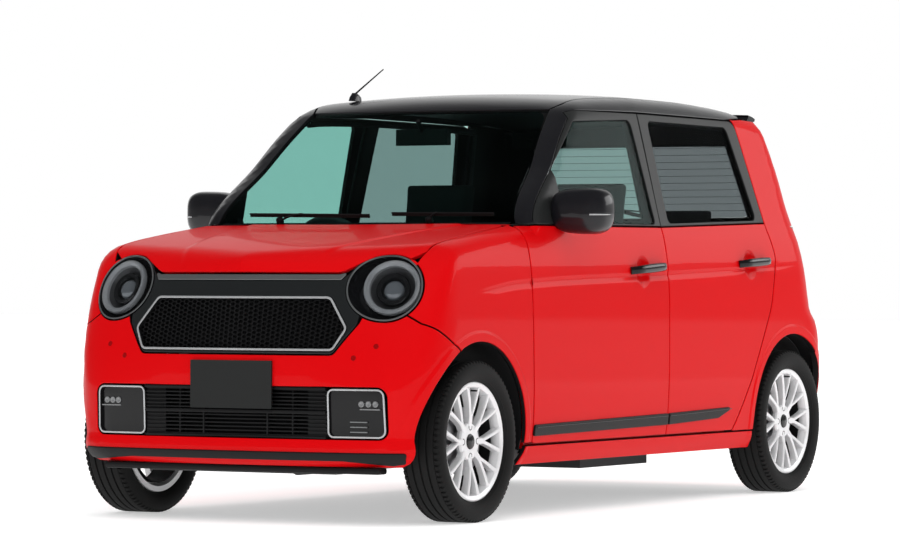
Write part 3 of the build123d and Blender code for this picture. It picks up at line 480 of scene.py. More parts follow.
# %% [markdown]
# ## Points inside a panel
# A staggered grid fills the sheet. Extra rows of points follow the crease, the arch lips, the cups and the
# folds of the bonnet, so that the triangles bend where the metal does.
# %% Points inside a panel
def sheet_points(rings, step, rows):
    """Grid and crease points well inside the rings."""
    low, high = rings[0].min(0), rings[0].max(0)
    nu, nv = int((high[0] - low[0]) / step) + 2, int((high[1] - low[1]) / step) + 2
    gu, gv = np.meshgrid(low[0] + step * np.arange(nu), low[1] + step * np.arange(nv))
    gu = gu + np.where(np.arange(nv) % 2, step / 2, 0)[:, None]
    grid = np.stack([gu.ravel(), gv.ravel()], 1)
    edge = np.concatenate(rings)
    grid = grid[inside_rings(grid, rings)]
    grid = grid[near(grid, edge) > 0.5 * step]
    if len(rows):
        rows = rows[inside_rings(rows, rings)]
        rows = rows[near(rows, edge) > 3.0]
        grid = grid[near(grid, rows) > 0.4 * step]
        grid = np.concatenate([grid, rows])
    return grid


def crease_rows(view):
    """Rows of points along the flank's crease, the arch lips and the bonnet's folds."""
    lines = []
    y = np.arange(-1290, 1330, 9.0)
    for off in (5.0, 0.0, -5.0, -10.0, -15.0, -24.0, -36.0, -50.0, -66.0):
        lines.append(("side", np.stack([y, crease_z(y) + off], 1)))
    for axle in (FRONT_AXLE_Y, REAR_AXLE_Y):
        a = np.linspace(-0.3, math.pi + 0.3, 130)
        for r in (364, 369, 374, 379):
            lines.append(("side", np.stack([axle + r * np.cos(a), ARCH_Z + r * np.sin(a)], 1)))
    a = np.linspace(0, 2 * math.pi, 24, endpoint=False)
    for cup_y, cup_z in HANDLE_CUPS:
        for r in (0.5, 10, 20, 30, 40, 48, 54, 58, 62):
            lines.append(("side", np.stack([cup_y + r * np.cos(a), cup_z + r * np.sin(a)], 1)))
    y = np.arange(-1600, -870, 10.0)
    for off in (-12, -2, 6, 14, 22):
        for s in (1, -1):
            lines.append(("top", np.stack([s * (bulge_x(y) + off), y], 1)))
    x = np.arange(-620, 621, 12.0)
    for z in (895, 903, 909, 914, 920):
        lines.append(("front", np.stack([x, np.full(len(x), float(z))], 1)))
    return np.concatenate([VIEWS[view].drop(skin_at(v, q)) for v, q in lines])

# %% [markdown]
# ## The panel's mesh
# The sheet is a constrained triangulation. A Solidify and a Bevel modifier could give it a wall and a rolled
# edge, but here both are built, because each corner then takes its normal from the form and the paint shows
# no facets.
# %% Panel mesh
ROW_CACHE = {}


def panel_data(view, rings, step=26.0, gap=2.5, roll=3.0, wall=16.0, depth=0.0, creases=True,
               edge=1):
    """Vertices, faces, corner normals and material indices of a panel, in millimetres."""
    if creases and view not in ROW_CACHE:
        ROW_CACHE[view] = crease_rows(view)
    ring_a = [shrunk(r, (gap + roll) * (1 if i == 0 else -1)) for i, r in enumerate(rings)]
    ring_b = [shrunk(r, (gap + 0.3 * roll) * (1 if i == 0 else -1)) for i, r in enumerate(rings)]
    ring_c = [shrunk(r, gap * (1 if i == 0 else -1)) for i, r in enumerate(rings)]
    inner = sheet_points(ring_a, step, ROW_CACHE[view] if creases else [])
    flat = np.concatenate(ring_a + [inner])
    edges, start = [], 0
    for r in ring_a:
        edges += [(start + i, start + (i + 1) % len(r)) for i in range(len(r))]
        start += len(r)
    q, _, tris, orig, _, _ = delaunay_2d_cdt([Vector(p) for p in flat], edges, [], 0, 1e-4)
    q = np.array([tuple(p) for p in q])
    tris = np.array([t for t in tris if len(t) == 3])
    tris = tris[inside_rings(q[tris].mean(1), ring_a)]
    index = {}
    for out_i, source in enumerate(orig):
        for s in source:
            index[s] = out_i
    top = skin_at(view, q)
    n = normals_at(top)
    top = top - n * depth
    verts, faces, normals, which = [top], [], [], []
    for t in tris:
        faces.append(t)
        normals += [n[i] for i in t]
        which.append(0)
    count = len(top)
    under = top - n * wall
    verts.append(under)
    for t in tris[:, ::-1]:
        faces.append(t + count)
        normals += [-n[i] for i in t]
        which.append(1)
    total, start = 2 * count, 0
    for k, (a, b, c) in enumerate(zip(ring_a, ring_b, ring_c)):
        ia = np.array([index[start + i] for i in range(len(a))])
        start += len(a)
        pb, pc = skin_at(view, b), skin_at(view, c)
        nb, nc = normals_at(pb), normals_at(pc)
        side = pc - (top[ia] + n[ia] * depth)
        side = side - (side * nc).sum(1)[:, None] * nc
        side = side / np.maximum(np.linalg.norm(side, axis=1), 1e-9)[:, None]
        pb, pc, pd = pb - nb * (0.3 * roll + depth), pc - nc * (roll + depth), pc - nc * (wall + depth)
        m = len(a)
        verts += [pb, pc, pd]
        ib, ic, i_d = total + np.arange(m), total + m + np.arange(m), total + 2 * m + np.arange(m)
        total += 3 * m
        lean = nb + side
        lean = lean / np.linalg.norm(lean, axis=1)[:, None]
        iu = ia + count
        for (i1, n1), (i2, n2), kind in (((ia, n[ia]), (ib, lean), 0), ((ib, lean), (ic, side), 0),
                                         ((ic, side), (i_d, side), edge), ((i_d, -n[ia]), (iu, -n[ia]), 1)):
            for j in range(m):
                l = (j + 1) % m
                loop = [(i1[j], n1[j]), (i2[j], n2[j]), (i2[l], n2[l]), (i1[l], n1[l])]
                loop = loop if k == 0 else loop[::-1]
                faces.append([v for v, _ in loop])
                normals += [w for _, w in loop]
                which.append(kind)
    return np.concatenate(verts), faces, np.array(normals), which

# %% [markdown]
# ## Single panels and pairs
# Most panels come as a left and a right one. The right one is a mirror image with its faces turned round.
# %% Single panels and pairs
def mirrored(data):
    """The same panel on the other side of the car."""
    verts, faces, normals, which = data
    flipped, out, start = [], [], 0
    for f in faces:
        flipped.append(list(f)[::-1])
        out.append(normals[start:start + len(f)][::-1])
        start += len(f)
    return verts * [-1, 1, 1], flipped, np.concatenate(out) * [-1, 1, 1], which


def panel(name, view, rings, material, body_name="body", slot="body_red", nodes=(), inner=INNER, **options):
    verts, faces, normals, which = panel_data(view, rings, **options)
    o = mesh_object(name, verts, faces, normals, (material, inner), which)
    return dress(o, body_name, slot, *nodes)


def panel_pair(name, view, rings, material, body_name="body", slot="body_red", nodes=(), inner=INNER,
               **options):
    """The left panel and its mirror image. {} in a name is the side."""
    data = panel_data(view, rings, **options)
    made = []
    for side, sign in SIDES:
        verts, faces, normals, which = data if sign > 0 else mirrored(data)
        o = mesh_object(name.format(side), verts, faces, normals, (material, inner), which)
        made.append(dress(o, body_name.format(side), slot, *[n.format(side) for n in nodes]))
    return made


# %% [markdown]
# ## Painted panels
# The outlines below are the shut lines. Doors, wings, bumpers, bonnet, tailgate and quarters are red. Window
# frames, windscreen pillars and the roof are black.
# %% Outline helpers
def arch_points(axle, start, end, radius=ARCH_RADIUS, count=40):
    """Points round a wheel arch, by angle in degrees from the tail towards the top."""
    a = np.radians(np.linspace(start, end, count))
    return [(axle + radius * math.cos(t), ARCH_Z + radius * math.sin(t)) for t in a]


def lamp_rim(a, grow=0.0, drawn=22.0):
    """The lamp's rim at angles a, about its centre: round outside, drawn out inwards."""
    r = LAMP_RADIUS + grow
    return np.where(np.cos(a) < 0, (r + drawn) * np.cos(a), r * np.cos(a)), r * np.sin(a)


def lamp_points(start, end, grow=0.0, count=30):
    """Part of the rim, by angle in degrees, as points of the front view."""
    q = np.stack(lamp_rim(np.radians(np.linspace(start, end, count)), grow), 1)
    p = skin_at("lamp", q + VIEWS["lamp"].drop(LAMP_CENTRE[None]))
    return [(x, z) for x, z in p[:, [0, 2]]]


def both(points):
    """A symmetric closed outline from its right half, read upwards."""
    return [tuple(p) for p in points] + [(-p[0], *p[1:]) for p in points[::-1]]


PILLAR_EDGE = [(float(half_width(z)) - 15, float(z)) for z in np.linspace(1040, 1428, 20)]
FRONT_WINDOW = [(-548, 1047, 18), (-566, 1236, 12), (-334, 1416, 30), (116, 1434, 26), (150, 1047, 18)]
REAR_WINDOW = [(262, 1052, 18), (262, 1434, 26), (926, 1430, 34), (1026, 1072, 24)]
front_skin = [(-854, 258, 20), (-884, 1008, 12), (-868, 1033, 3), (SPLIT_Y, 1036, 3), (SPLIT_Y, 258, 5)]
rear_skin = [(SPLIT_Y, 258, 5), (SPLIT_Y, 1036, 3), (1094, 1060, 3), (1132, 930, 70), (1071, 728, 260),
             (908, 462, 260), (752, 258, 20)]
rear_frame = [(SPLIT_Y, 1037, 3), (SPLIT_Y, 1463, 6), (1008, 1459, 50), (1093, 1061, 3)]

# %% [markdown]
# ## Doors and sills
# A door is a red skin and a black frame with its window cut out. The frame is a piece of its own, because it
# is satin, and both ride on the door's body.
# %% Doors and sills
door_f, door_r = "front_door_{}", "rear_door_{}"
panel_pair("front_door_skin_{}", "side", [outline("side", ("side", front_skin))], RED, door_f,
           nodes=["front_door_{}"], edge=0)
panel_pair("rear_door_skin_{}", "side", [outline("side", ("side", rear_skin))], RED, door_r,
           nodes=["rear_door_{}"], edge=0)
front_frame = outline("pillar", ("front", PILLAR_EDGE),
                      ("side", [(-330, 1452), (-290, 1460, 10), (SPLIT_Y, 1463)]),
                      ("side", [(SPLIT_Y, 1038), (-858, 1035)]))
panel_pair("front_door_frame_{}", "pillar", [front_frame, outline("pillar", ("side", FRONT_WINDOW))], SATIN,
           door_f, "roof_black", gap=1.5, creases=False)
panel_pair("rear_door_frame_{}", "side", [outline("side", ("side", rear_frame)),
           outline("side", ("side", REAR_WINDOW))], SATIN, door_r, "roof_black", gap=1.5, creases=False)
sill = [(-925, 184), (-900, 254, 4), (930, 254, 4), (950, 184)]
panel_pair("sill_{}", "side", [outline("side", ("side", sill))], RED, creases=False, nodes=["side_frame_{}"])

# %% [markdown]
# ## Rear quarters
# The quarter wraps from the rear door round to the tailgate, so it is drawn on a cylinder. It leaves a slot
# for the upright tail lamp.
# %% Rear quarters
door_rear_line = [(990, 1461), (1008, 1459, 50), (1093, 1061, 0), (1132, 930, 70), (1071, 728, 260),
                  (908, 462, 260), (752, 258)]
lamp_front, lamp_inner = [(1490, 720), (1476, 1046)], [(-560, 722), (-606, 1046)]
quarter = outline("tail", ("side", door_rear_line), ("side", [(760, 255), (931, 255)]),
                  ("side", arch_points(REAR_AXLE_Y, 185, 52)), ("side", [(1480, 560), (1500, 706)]),
                  ("side", lamp_front), ("rear", [(-692, 1050), (-598, 1050)]),
                  ("rear", [(-598, 1060), (-592, 1120, 200), (-506, 1462)]),
                  ("side", [(1270, 1466), (1100, 1470)]))
panel_pair("quarter_{}", "tail", [quarter], RED)
tail_lens = outline("tail", ("side", lamp_front[::-1]), ("rear", [(-690, 718), (-556, 718)]),
                    ("rear", lamp_inner), ("rear", [(-604, 1048), (-690, 1048)]))

# %% [markdown]
# ## Front wings
# The wing reaches from the door to the lamp, and from the bonnet down to the wheel arch.
# %% Front wings
lamp_out = lamp_points(54, -52, 3)
wing = outline("wing", ("side", [(-854, 262), (-884, 1008, 12), (-870, 1034)]),
               ("top", [(632, -868), (640, -1250, 900), (640, -1440, 300), (lamp_out[0][0] + 16, -1492)]),
               ("front", lamp_out), ("side", [(-1556, 690), (-1396, 598)]),
               ("side", arch_points(FRONT_AXLE_Y, 115.5, -4.5)))
panel_pair("wing_{}", "wing", [wing], RED, nodes=["front_wings"])

# %% [markdown]
# ## Bonnet
# The bonnet's front edge follows the tops of both lamps and dips between them.
# %% Bonnet
lamp_top = lamp_points(112, 58, 3)
bonnet_front = [(-x, z) for x, z in lamp_top[::-1]] + [(-372, 862, 60), (372, 862, 60)] + lamp_top
bonnet_back = [(640, -1450), (640, -1250, 900), (628, -900, 30), (590, -858, 40), (0, -892, 3000),
               (-590, -858, 40), (-628, -900, 30), (-640, -1250, 900), (-640, -1450)]
bonnet_ring = outline("bonnet", ("front", bonnet_front), ("top", bonnet_back))
panel("bonnet_skin", "bonnet", [bonnet_ring], RED, "bonnet", nodes=["bonnet"], step=30, edge=0)

# %% [markdown]
# ## Front bumper
# The bumper wraps from arch to arch under the lamps, with one wide opening for the intake and the fog lamps.
# %% Front bumper
lamp_low = lamp_points(238, 308, 3)
bumper_top = [(-x, z) for x, z in lamp_low[::-1]] + [(-466, 690, 20), (-388, 582, 24), (388, 582, 24),
                                                     (466, 690, 20)]
bumper_top += lamp_low
bumper_side = [(-1556, 690), (-1396, 598)]
BAND = [(-592, 296, 30), (592, 296, 30), (590, 471, 36), (-590, 471, 36)]
left_side = VIEWS["nose"].drop(skin_at("side", rounded(bumper_side, False)))
left_arch = VIEWS["nose"].drop(skin_at("side", rounded(arch_points(FRONT_AXLE_Y, 116, 196, count=30), False)))
quarter_turn = -2 * math.pi / 4 * VIEWS["nose"].radius


def to_right(q):
    """A line on the left of the nose view, moved to the right and read backwards."""
    return np.stack([2 * quarter_turn - q[:, 0], q[:, 1]], 1)[::-1]


front_low = VIEWS["nose"].drop(skin_at("front", rounded(bumper_top, False)))
bottom = [tuple(left_arch[-1]), (2 * quarter_turn - left_arch[-1][0], left_arch[-1][1])]
nose_ring = np.concatenate([front_low, left_side, left_arch, rounded(bottom, False)[1:-1],
                            to_right(left_arch), to_right(left_side)])
nose_ring = turned_left(without_doubles(nose_ring))
panel("front_bumper_skin", "nose", [nose_ring, outline("nose", ("front", BAND))], RED, nodes=["front_bumper"],
      wall=24)

# %% [markdown]
# ## Tailgate and rear bumper
# The tailgate is a panel with its window cut out. The rear bumper wraps round the tail from arch to arch.
# %% Tailgate and rear bumper
TAILGATE = [(548, 716, 50), (594, 1010, 260), (586, 1120, 260), (500, 1462, 10)]
REAR_GLASS = [(470, 1092, 50), (410, 1428, 50)]
panel("tailgate_skin", "rear", [outline("rear", ("rear", both(TAILGATE))),
                                outline("rear", ("rear", both(REAR_GLASS)))],
      RED, "tailgate", nodes=["tailgate"])

rear_arch = VIEWS["tail"].drop(skin_at("side", rounded(arch_points(REAR_AXLE_Y, -18, 51, count=30), False)))
half_turn = math.pi * VIEWS["tail"].radius
rear_top = VIEWS["tail"].drop(skin_at("side", rounded([(1480, 560), (1500, 704)], False)))


def tail_right(q):
    """A line on the left of the tail view, moved to the right and read backwards."""
    return np.stack([half_turn - q[:, 0], q[:, 1]], 1)[::-1]


top_line = rounded([tuple(rear_top[-1]), tuple(tail_right(rear_top)[0])], False)[1:-1]
low_line = rounded([tuple(tail_right(rear_arch)[-1]), tuple(rear_arch[0])], False)[1:-1]
tail_ring = np.concatenate([rear_arch, rear_top, top_line, tail_right(rear_top), tail_right(rear_arch),
                            low_line])
panel("rear_bumper_skin", "tail", [without_doubles(tail_ring)], RED, nodes=["rear_bumper"], wall=24)

# %% [markdown]
# ## Black roof, pillars and glass
# The windscreen pillars and the roof rail are one long piece a side. Panes sit a little below their frames.
# %% Roof and glass
SCREEN = [(616, 1042, 40), (500, 1456, 50)]
rail = outline("pillar", ("front", PILLAR_EDGE), ("side", [(-330, 1452), (-290, 1460, 10), (186, 1467),
                                                           (940, 1463), (1100, 1474)]),
               ("top", [(530, 1100), (530, -270)]), ("front", [(506, 1462), (622, 1042), (664, 1036)]))
panel_pair("roof_rail_{}", "pillar", [rail], BLACK, slot="roof_black", gap=0.5, roll=2, creases=False)
panel("roof_skin", "roof", [outline("roof", ("front", [(-503, 1462), (503, 1462)]),
                                    ("top", [(528, -262), (528, 1100, 20), (506, 1262, 40), (0, 1292, 3000),
                                             (-506, 1262, 40), (-528, 1100, 20), (-528, -262)]))],
      BLACK, slot="roof_black", nodes=["roof_panel"], gap=1.0, step=40, creases=False)
panel("windscreen_glass", "front", [outline("front", ("front", both(SCREEN)))], GLASS, slot="window_glass",
      nodes=["windscreen"], inner=GLASS, gap=1.0, roll=1, wall=5, depth=3, creases=False, step=40)
for door, window, glass in (("front", FRONT_WINDOW, GLASS), ("rear", REAR_WINDOW, DARK_GLASS)):
    panel_pair(door + "_door_pane_{}", "side", [outline("side", ("side", window))], glass, door + "_door_{}",
               "window_glass", [door + "_door_glass_{}"], inner=glass, gap=0.5, roll=1, wall=4, depth=6,
               creases=False, step=60)
panel("tailgate_pane", "rear", [outline("rear", ("rear", both(REAR_GLASS)))], DARK_GLASS, "tailgate",
      "window_glass", ["tailgate_glass"], inner=DARK_GLASS, gap=0.5, roll=1, wall=4, depth=5, creases=False,
      step=60)

# %% [markdown]
# ## Shapes for the trim
# The trim is made by a few small makers. The first turns a closed profile round an axis, which suits lamp
# rings, rims, tyres and reflectors. Blender's Screw modifier does the same, but its angle and axis would have
# to be set up for each piece; here the centre and the axis are two arguments.
# %% Turned shapes
TURNED_CREASE = 34          # degrees; sharper edges of a turned shape stay crisp


def lathe(name, profile, centre, axis, material, count=64):
    """Turns a closed profile of (radius, height along axis) round the axis through centre."""
    axis = unit(axis)
    a = unit(np.cross(axis, [0, 0, 1] if abs(axis[2]) < 0.9 else [0, 1, 0]))
    b = np.cross(axis, a)
    t = np.linspace(0, 2 * math.pi, count, endpoint=False)
    rim = np.cos(t)[:, None] * a + np.sin(t)[:, None] * b
    prof = np.array([p[:2] for p in profile], float)
    verts = np.array(centre, float) + (rim[:, None] * prof[None, :, :1] + axis
                                       * prof[None, :, 1:]).reshape(-1, 3)
    n, faces = len(prof), []
    for i in range(count):
        j = (i + 1) % count
        for k in range(n):
            l = (k + 1) % n
            faces.append((i * n + k, i * n + l, j * n + l, j * n + k))
    return soft_edges(mesh_object(name, verts, faces, None, (material,)), TURNED_CREASE)


def soft_edges(o, angle=40):
    """Smooth shading with edges sharper than the angle kept crisp, and normals outwards."""
    bm = bmesh.new()
    bm.from_mesh(o.data)
    bmesh.ops.remove_doubles(bm, verts=bm.verts, dist=1e-6)
    bmesh.ops.recalc_face_normals(bm, faces=bm.faces)
    limit = math.radians(angle)
    for e in bm.edges:
        e.smooth = len(e.link_faces) == 2 and e.calc_face_angle(0) < limit
    bm.to_mesh(o.data)
    bm.free()
    return o

# %% [markdown]
# ## Lofts, bars and blocks
# A loft skins a row of rings. A swept bar is a loft whose rings follow a path, and a block is a box with its
# edges bevelled, so that they catch the light as moulded plastic does.
# %% Lofts, bars and blocks
def loft(name, rings, material, open_front=False):
    """Skins rings with the same number of points. The ends are closed, or the front left open."""
    verts = np.concatenate(rings)
    n, faces = len(rings[0]), []
    for i in range(len(rings) - 1):
        for k in range(n):
            l = (k + 1) % n
            faces.append((i * n + k, i * n + l, (i + 1) * n + l, (i + 1) * n + k))
    faces.append(tuple(range((len(rings) - 1) * n, len(rings) * n)))
    if not open_front:
        faces.append(tuple(range(n))[::-1])
    return soft_edges(mesh_object(name, verts, faces, None, (material,)))


def swept(name, path, sizes, material, up=(0, 0, 1), count=16, square=1.0):
    """A bar along a path. sizes holds its half width and half height at each point."""
    path, up = np.array(path, float), unit(up)
    sizes = np.broadcast_to(np.array(sizes, float), (len(path), 2))
    way = np.gradient(path, axis=0)
    rings = []
    t = np.linspace(0, 2 * math.pi, count, endpoint=False) + math.pi / count
    c, s = np.sign(np.cos(t)) * np.abs(np.cos(t)) ** square, np.sign(np.sin(t)) * np.abs(np.sin(t)) ** square
    for p, w, (a, b) in zip(path, way, sizes):
        w = unit(w)
        side = unit(np.cross(w, up))
        top = np.cross(side, w)
        rings.append(p + c[:, None] * side * a + s[:, None] * top * b)
    return loft(name, rings, material)


def block(name, low, high, material, bevel=3.0):
    """A box between two corners with bevelled edges."""
    low, high = np.minimum(low, high), np.maximum(low, high)
    c = [(x, y, z) for x in (low[0], high[0]) for y in (low[1], high[1]) for z in (low[2], high[2])]
    faces = [(0, 1, 3, 2), (4, 6, 7, 5), (0, 4, 5, 1), (2, 3, 7, 6), (0, 2, 6, 4), (1, 5, 7, 3)]
    o = mesh_object(name, c, faces, None, (material,))
    rounded_edges(o, bevel)
    return soft_edges(o)


def rounded_edges(o, bevel, segments=2):
    """Bevels every edge of a mesh in place."""
    bm = bmesh.new()
    bm.from_mesh(o.data)
    bmesh.ops.bevel(bm, geom=bm.edges[:], offset=bevel * MM, segments=segments, profile=0.6, affect="EDGES")
    bm.to_mesh(o.data)
    bm.free()

# %% [markdown]
# ## Repeats by Geometry Nodes
# Spokes, nuts, tread, slats and honeycomb all repeat one piece. One node tree serves them: points in a row,
# an instance on each, moved by a step and turned by an angle that grow with the index.
# %% Repeats
def repeat(name, source, count, step=(0, 0, 0), turn=(0, 0, 0), material=None, seed=0):
    """Copies of a source mesh, each moved by step and turned by turn about the origin more than the last."""
    group = bpy.data.node_groups.new(name, "GeometryNodeTree")
    face = group.interface
    face.new_socket("Geometry", in_out="INPUT", socket_type="NodeSocketGeometry")
    sockets = {}
    for label, kind, value in (("Source", "NodeSocketObject", source), ("Count", "NodeSocketInt", count),
                               ("Step", "NodeSocketVector", step), ("Turn", "NodeSocketVector", turn),
                               ("Finish", "NodeSocketMaterial", material), ("Seed", "NodeSocketInt", seed)):
        sockets[label] = (face.new_socket(label, in_out="INPUT", socket_type=kind).identifier, value)
    face.new_socket("Geometry", in_out="OUTPUT", socket_type="NodeSocketGeometry")
    node, link = group.nodes.new, group.links.new
    given, out = node("NodeGroupInput"), node("NodeGroupOutput")
    points, index = node("GeometryNodePoints"), node("GeometryNodeInputIndex")
    info = node("GeometryNodeObjectInfo")
    place, angle = node("ShaderNodeVectorMath"), node("ShaderNodeVectorMath")
    put, real, paint = (node("GeometryNodeInstanceOnPoints"), node("GeometryNodeRealizeInstances"),
                        node("GeometryNodeSetMaterial"))
    for n, label in ((place, "Step"), (angle, "Turn")):
        n.operation = "SCALE"
        link(given.outputs[label], n.inputs[0])
        link(index.outputs[0], n.inputs["Scale"])
    link(given.outputs["Count"], points.inputs["Count"])
    link(place.outputs[0], points.inputs["Position"])
    link(given.outputs["Source"], info.inputs["Object"])
    link(points.outputs[0], put.inputs["Points"])
    link(info.outputs["Geometry"], put.inputs["Instance"])
    link(angle.outputs[0], put.inputs["Rotation"])
    link(put.outputs[0], real.inputs[0])
    link(real.outputs[0], paint.inputs["Geometry"])
    link(given.outputs["Finish"], paint.inputs["Material"])
    link(paint.outputs[0], out.inputs[0])
    holder = linked(name, bpy.data.meshes.new(name))
    modifier = holder.modifiers.new("repeat", "NODES")
    modifier.node_group = group
    for identifier, value in sockets.values():
        modifier[identifier] = value
    bpy.context.view_layer.update()
    applied(holder)
    bpy.data.objects.remove(source)
    return holder

# %% [markdown]
# ## Moved, mirrored and merged
# The last three makers move a mesh, mirror it and join several into one with their materials.
# %% Moved, mirrored and merged
def moved(o, shift):
    """The mesh of o moved by millimetres."""
    o.data.transform(Matrix.Translation(Vector(shift) * MM))
    return o


def reflected(o, name):
    """A mirror image of o across the middle of the car."""
    me = o.data.copy()
    me.transform(Matrix.Diagonal((-1, 1, 1, 1)))
    me.flip_normals()
    return soft_edges(linked(name, me), TURNED_CREASE)


def merged(name, *parts):
    """One object from several, with their materials."""
    bm = bmesh.new()
    me = bpy.data.meshes.new(name)
    for p in parts:
        start = len(bm.faces)
        bm.from_mesh(p.data)
        bm.faces.ensure_lookup_table()
        slots = []
        for m in p.data.materials:
            if m.name not in [s.name for s in me.materials]:
                me.materials.append(m)
            slots.append([s.name for s in me.materials].index(m.name))
        for f in bm.faces[start:]:
            f.material_index = slots[f.material_index] if slots else 0
        bpy.data.objects.remove(p)
    bm.to_mesh(me)
    bm.free()
    return linked(name, me)


def dress_pair(left, name, body_name, slot):
    """Dresses a left piece and its mirror image. {} in a name is the side."""
    for o, side in ((reflected(left, name.format("right")), "right"), (left, "left")):
        dress(o, body_name.format(side), slot)


# %% [markdown]
# ## Nose
# Round lamps sit in bezels that are drawn out towards the grille. Their parts are turned or lofted along the
# lamp's own tilted axis, so that they sit square in the hole that the panels leave, and the right lamp is a
# mirror image of the left.
# %% Lamps
LAMP = VIEWS["lamp"]
LAMP_Q = LAMP.drop(LAMP_CENTRE[None])[0]
LAMP_LIFT = float(LAMP_CENTRE @ LAMP_N)


def lamp_ring(grow, depth, count=72, drawn=22.0):
    """A ring of the lamp in space, depth below its plane."""
    u, v = lamp_rim(np.linspace(0, 2 * math.pi, count, endpoint=False), grow, drawn)
    u, v = u + LAMP_Q[0], v + LAMP_Q[1]
    return u[:, None] * LAMP.u + v[:, None] * LAMP.v + (LAMP_LIFT - depth) * LAMP_N


def lamp_flat(grow, count=84):
    """The rim as a closed ring of the lamp's view."""
    return np.stack(lamp_rim(np.linspace(0, 2 * math.pi, count, endpoint=False), grow), 1) + LAMP_Q


lamp_parts = []
rim = panel_data("lamp", [lamp_flat(0.5), lamp_flat(-5.5)], gap=0.0, roll=1.2, wall=22, depth=-1.5,
                 creases=False)
lamp_parts.append(mesh_object("rim", rim[0], rim[1], rim[2], (GARNISH_LIGHT, BEZEL), rim[3]))
lamp_parts.append(loft("dish", [lamp_ring(-4, 2), lamp_ring(-6, 14), lamp_ring(-14, 34), lamp_ring(-34, 58),
                                lamp_ring(-60, 62, drawn=10)], BEZEL, open_front=True))
RING_C = LAMP_CENTRE + LAMP.u * 13 + LAMP.v * 5
PROJECTOR = finish("projector_lens", (0.12, 0.13, 0.14), 0.05, metal=0.3, coat=1.0)
dome = [(38 * math.sin(t), -44 + 26 * math.cos(t)) for t in np.linspace(math.pi / 2, 0.02, 12)]
for name, profile, material in (
        ("day_ring", [(101, -24), (102, -12), (99, -6), (92, -5), (82, -12), (79, -20), (79, -26)],
         LENS_RING),
        ("ring_wall", [(79, -22), (79, -26), (70, -44), (60, -46), (58, -42), (70, -36)], STEEL),
        ("lens_hood", [(58, -30), (60, -26), (56, -22), (44, -26), (40, -34), (40, -50), (58, -50)],
         GLOSS_PLASTIC),
        ("projector", [(38, -50)] + dome + [(0.5, -50)], PROJECTOR)):
    lamp_parts.append(lathe(name, profile, RING_C, LAMP_N, material))
lamp_left = merged("headlamp_left", *lamp_parts)
lamp_right = reflected(lamp_left, "headlamp_right")
for o in (lamp_left, lamp_right):
    dress(o, "body", "lamp_lens", "headlamps")
panel_pair("headlamp_cover_{}", "lamp", [lamp_flat(-5.0)], LAMP_GLASS, slot="lamp_lens", inner=LAMP_GLASS,
           gap=0.0, roll=0.8, wall=2, depth=1.5, creases=False, step=40)

# %% [markdown]
# ## Grille
# A dark garnish joins the two lamps and frames a long hexagon. Behind it the honeycomb is laid column by
# column with Geometry Nodes, each column cut to the height of the opening there.
# %% Grille
HEX = [(389, 595, 26), (431, 672, 22), (352, 781, 30)]
lamp_in = lamp_points(234, 128, 2)
garnish_low = [(386, 584, 24), (462, 686, 18)] + lamp_in + [(372, 838)]
panel("grille_garnish", "front", [outline("front", ("front", both(garnish_low))),
                                  outline("front", ("front", both(HEX)))],
      GARNISH, slot="grille_dark", nodes=["grille_panel"], gap=1.0, roll=2.5, wall=30, depth=2, creases=False)
strip = both([(374, 837, 2), (398, 866, 8), (366, 857, 8)])
panel("garnish_strip", "front", [outline("front", ("front", strip))],
      GARNISH_LIGHT, slot="grille_dark", gap=0.5, roll=2.0, wall=14, depth=-1, creases=False, step=14)
hex_ring = outline("front", ("front", both(HEX)))
panel("grille_frame", "front", [hex_ring, shrunk(hex_ring, 7.5)], CHROME, slot="grille_dark", gap=0.0,
      roll=1.6, wall=16, depth=-2.5, creases=False)
panel("grille_back", "front", [shrunk(hex_ring, -4)], INNER, slot="grille_dark", gap=0.0, roll=0.5, wall=4,
      depth=34, creases=False, step=60)


def nose_at(x, z, depth=0.0):
    """A point of the skin as seen from the front, moved in by depth."""
    p = skin_at("front", np.array([[x, z]], float))
    return (p - normals_at(p) * depth)[0]


def honeycomb():
    """A field of flat hexagonal cells cut to the grille's opening, laid by Geometry Nodes in columns."""
    wide, high, wall = 25.0, 15.0, 1.5
    out = [(wide / 2, 0), (wide / 4, high / 2), (-wide / 4, high / 2), (-wide / 2, 0), (-wide / 4, -high / 2),
           (wide / 4, -high / 2)]
    ring = lambda k, d: np.array([(x * k, d, z * k) for x, z in out])
    k = 1 - 2.4 * wall / high
    cell_rings = [ring(1.0, 0), ring(1.0, 8), ring(k, 8), ring(k, 0)]
    verts, faces = np.concatenate(cell_rings), []
    for i in range(4):
        for j in range(6):
            l = (j + 1) % 6
            m = (i + 1) % 4
            faces.append((i * 6 + j, i * 6 + l, m * 6 + l, m * 6 + j))
    rows = []
    pitch_x, pitch_z = wide * 0.75, high
    reach = through([(580, 380), (595, 389), (672, 431), (781, 352), (800, 338)])
    column, number = 0, 0
    x0 = -pitch_x * 23
    while column <= 46:
        x = x0 + column * pitch_x
        offset = (column % 2) * pitch_z / 2
        zs = [z for z in np.arange(604 + offset, 776, pitch_z) if abs(x) < float(reach(z)) - 9]
        if zs:
            cell = mesh_object("cell", verts, faces, None, (INNER,), smooth=False)
            low, high = nose_at(x, zs[0], 13), nose_at(x, zs[-1] + 1, 13)
            y, lean = low[1], (high[1] - low[1]) / (zs[-1] + 1 - zs[0])
            row = repeat(f"cells_{number}", cell, len(zs), step=(0, pitch_z * lean * MM, pitch_z * MM),
                         material=INNER)
            rows.append(moved(row, (x, y, zs[0])))
            number += 1
        column += 1
    return merged("grille_mesh", *rows)


dress(honeycomb(), "body", "grille_dark")

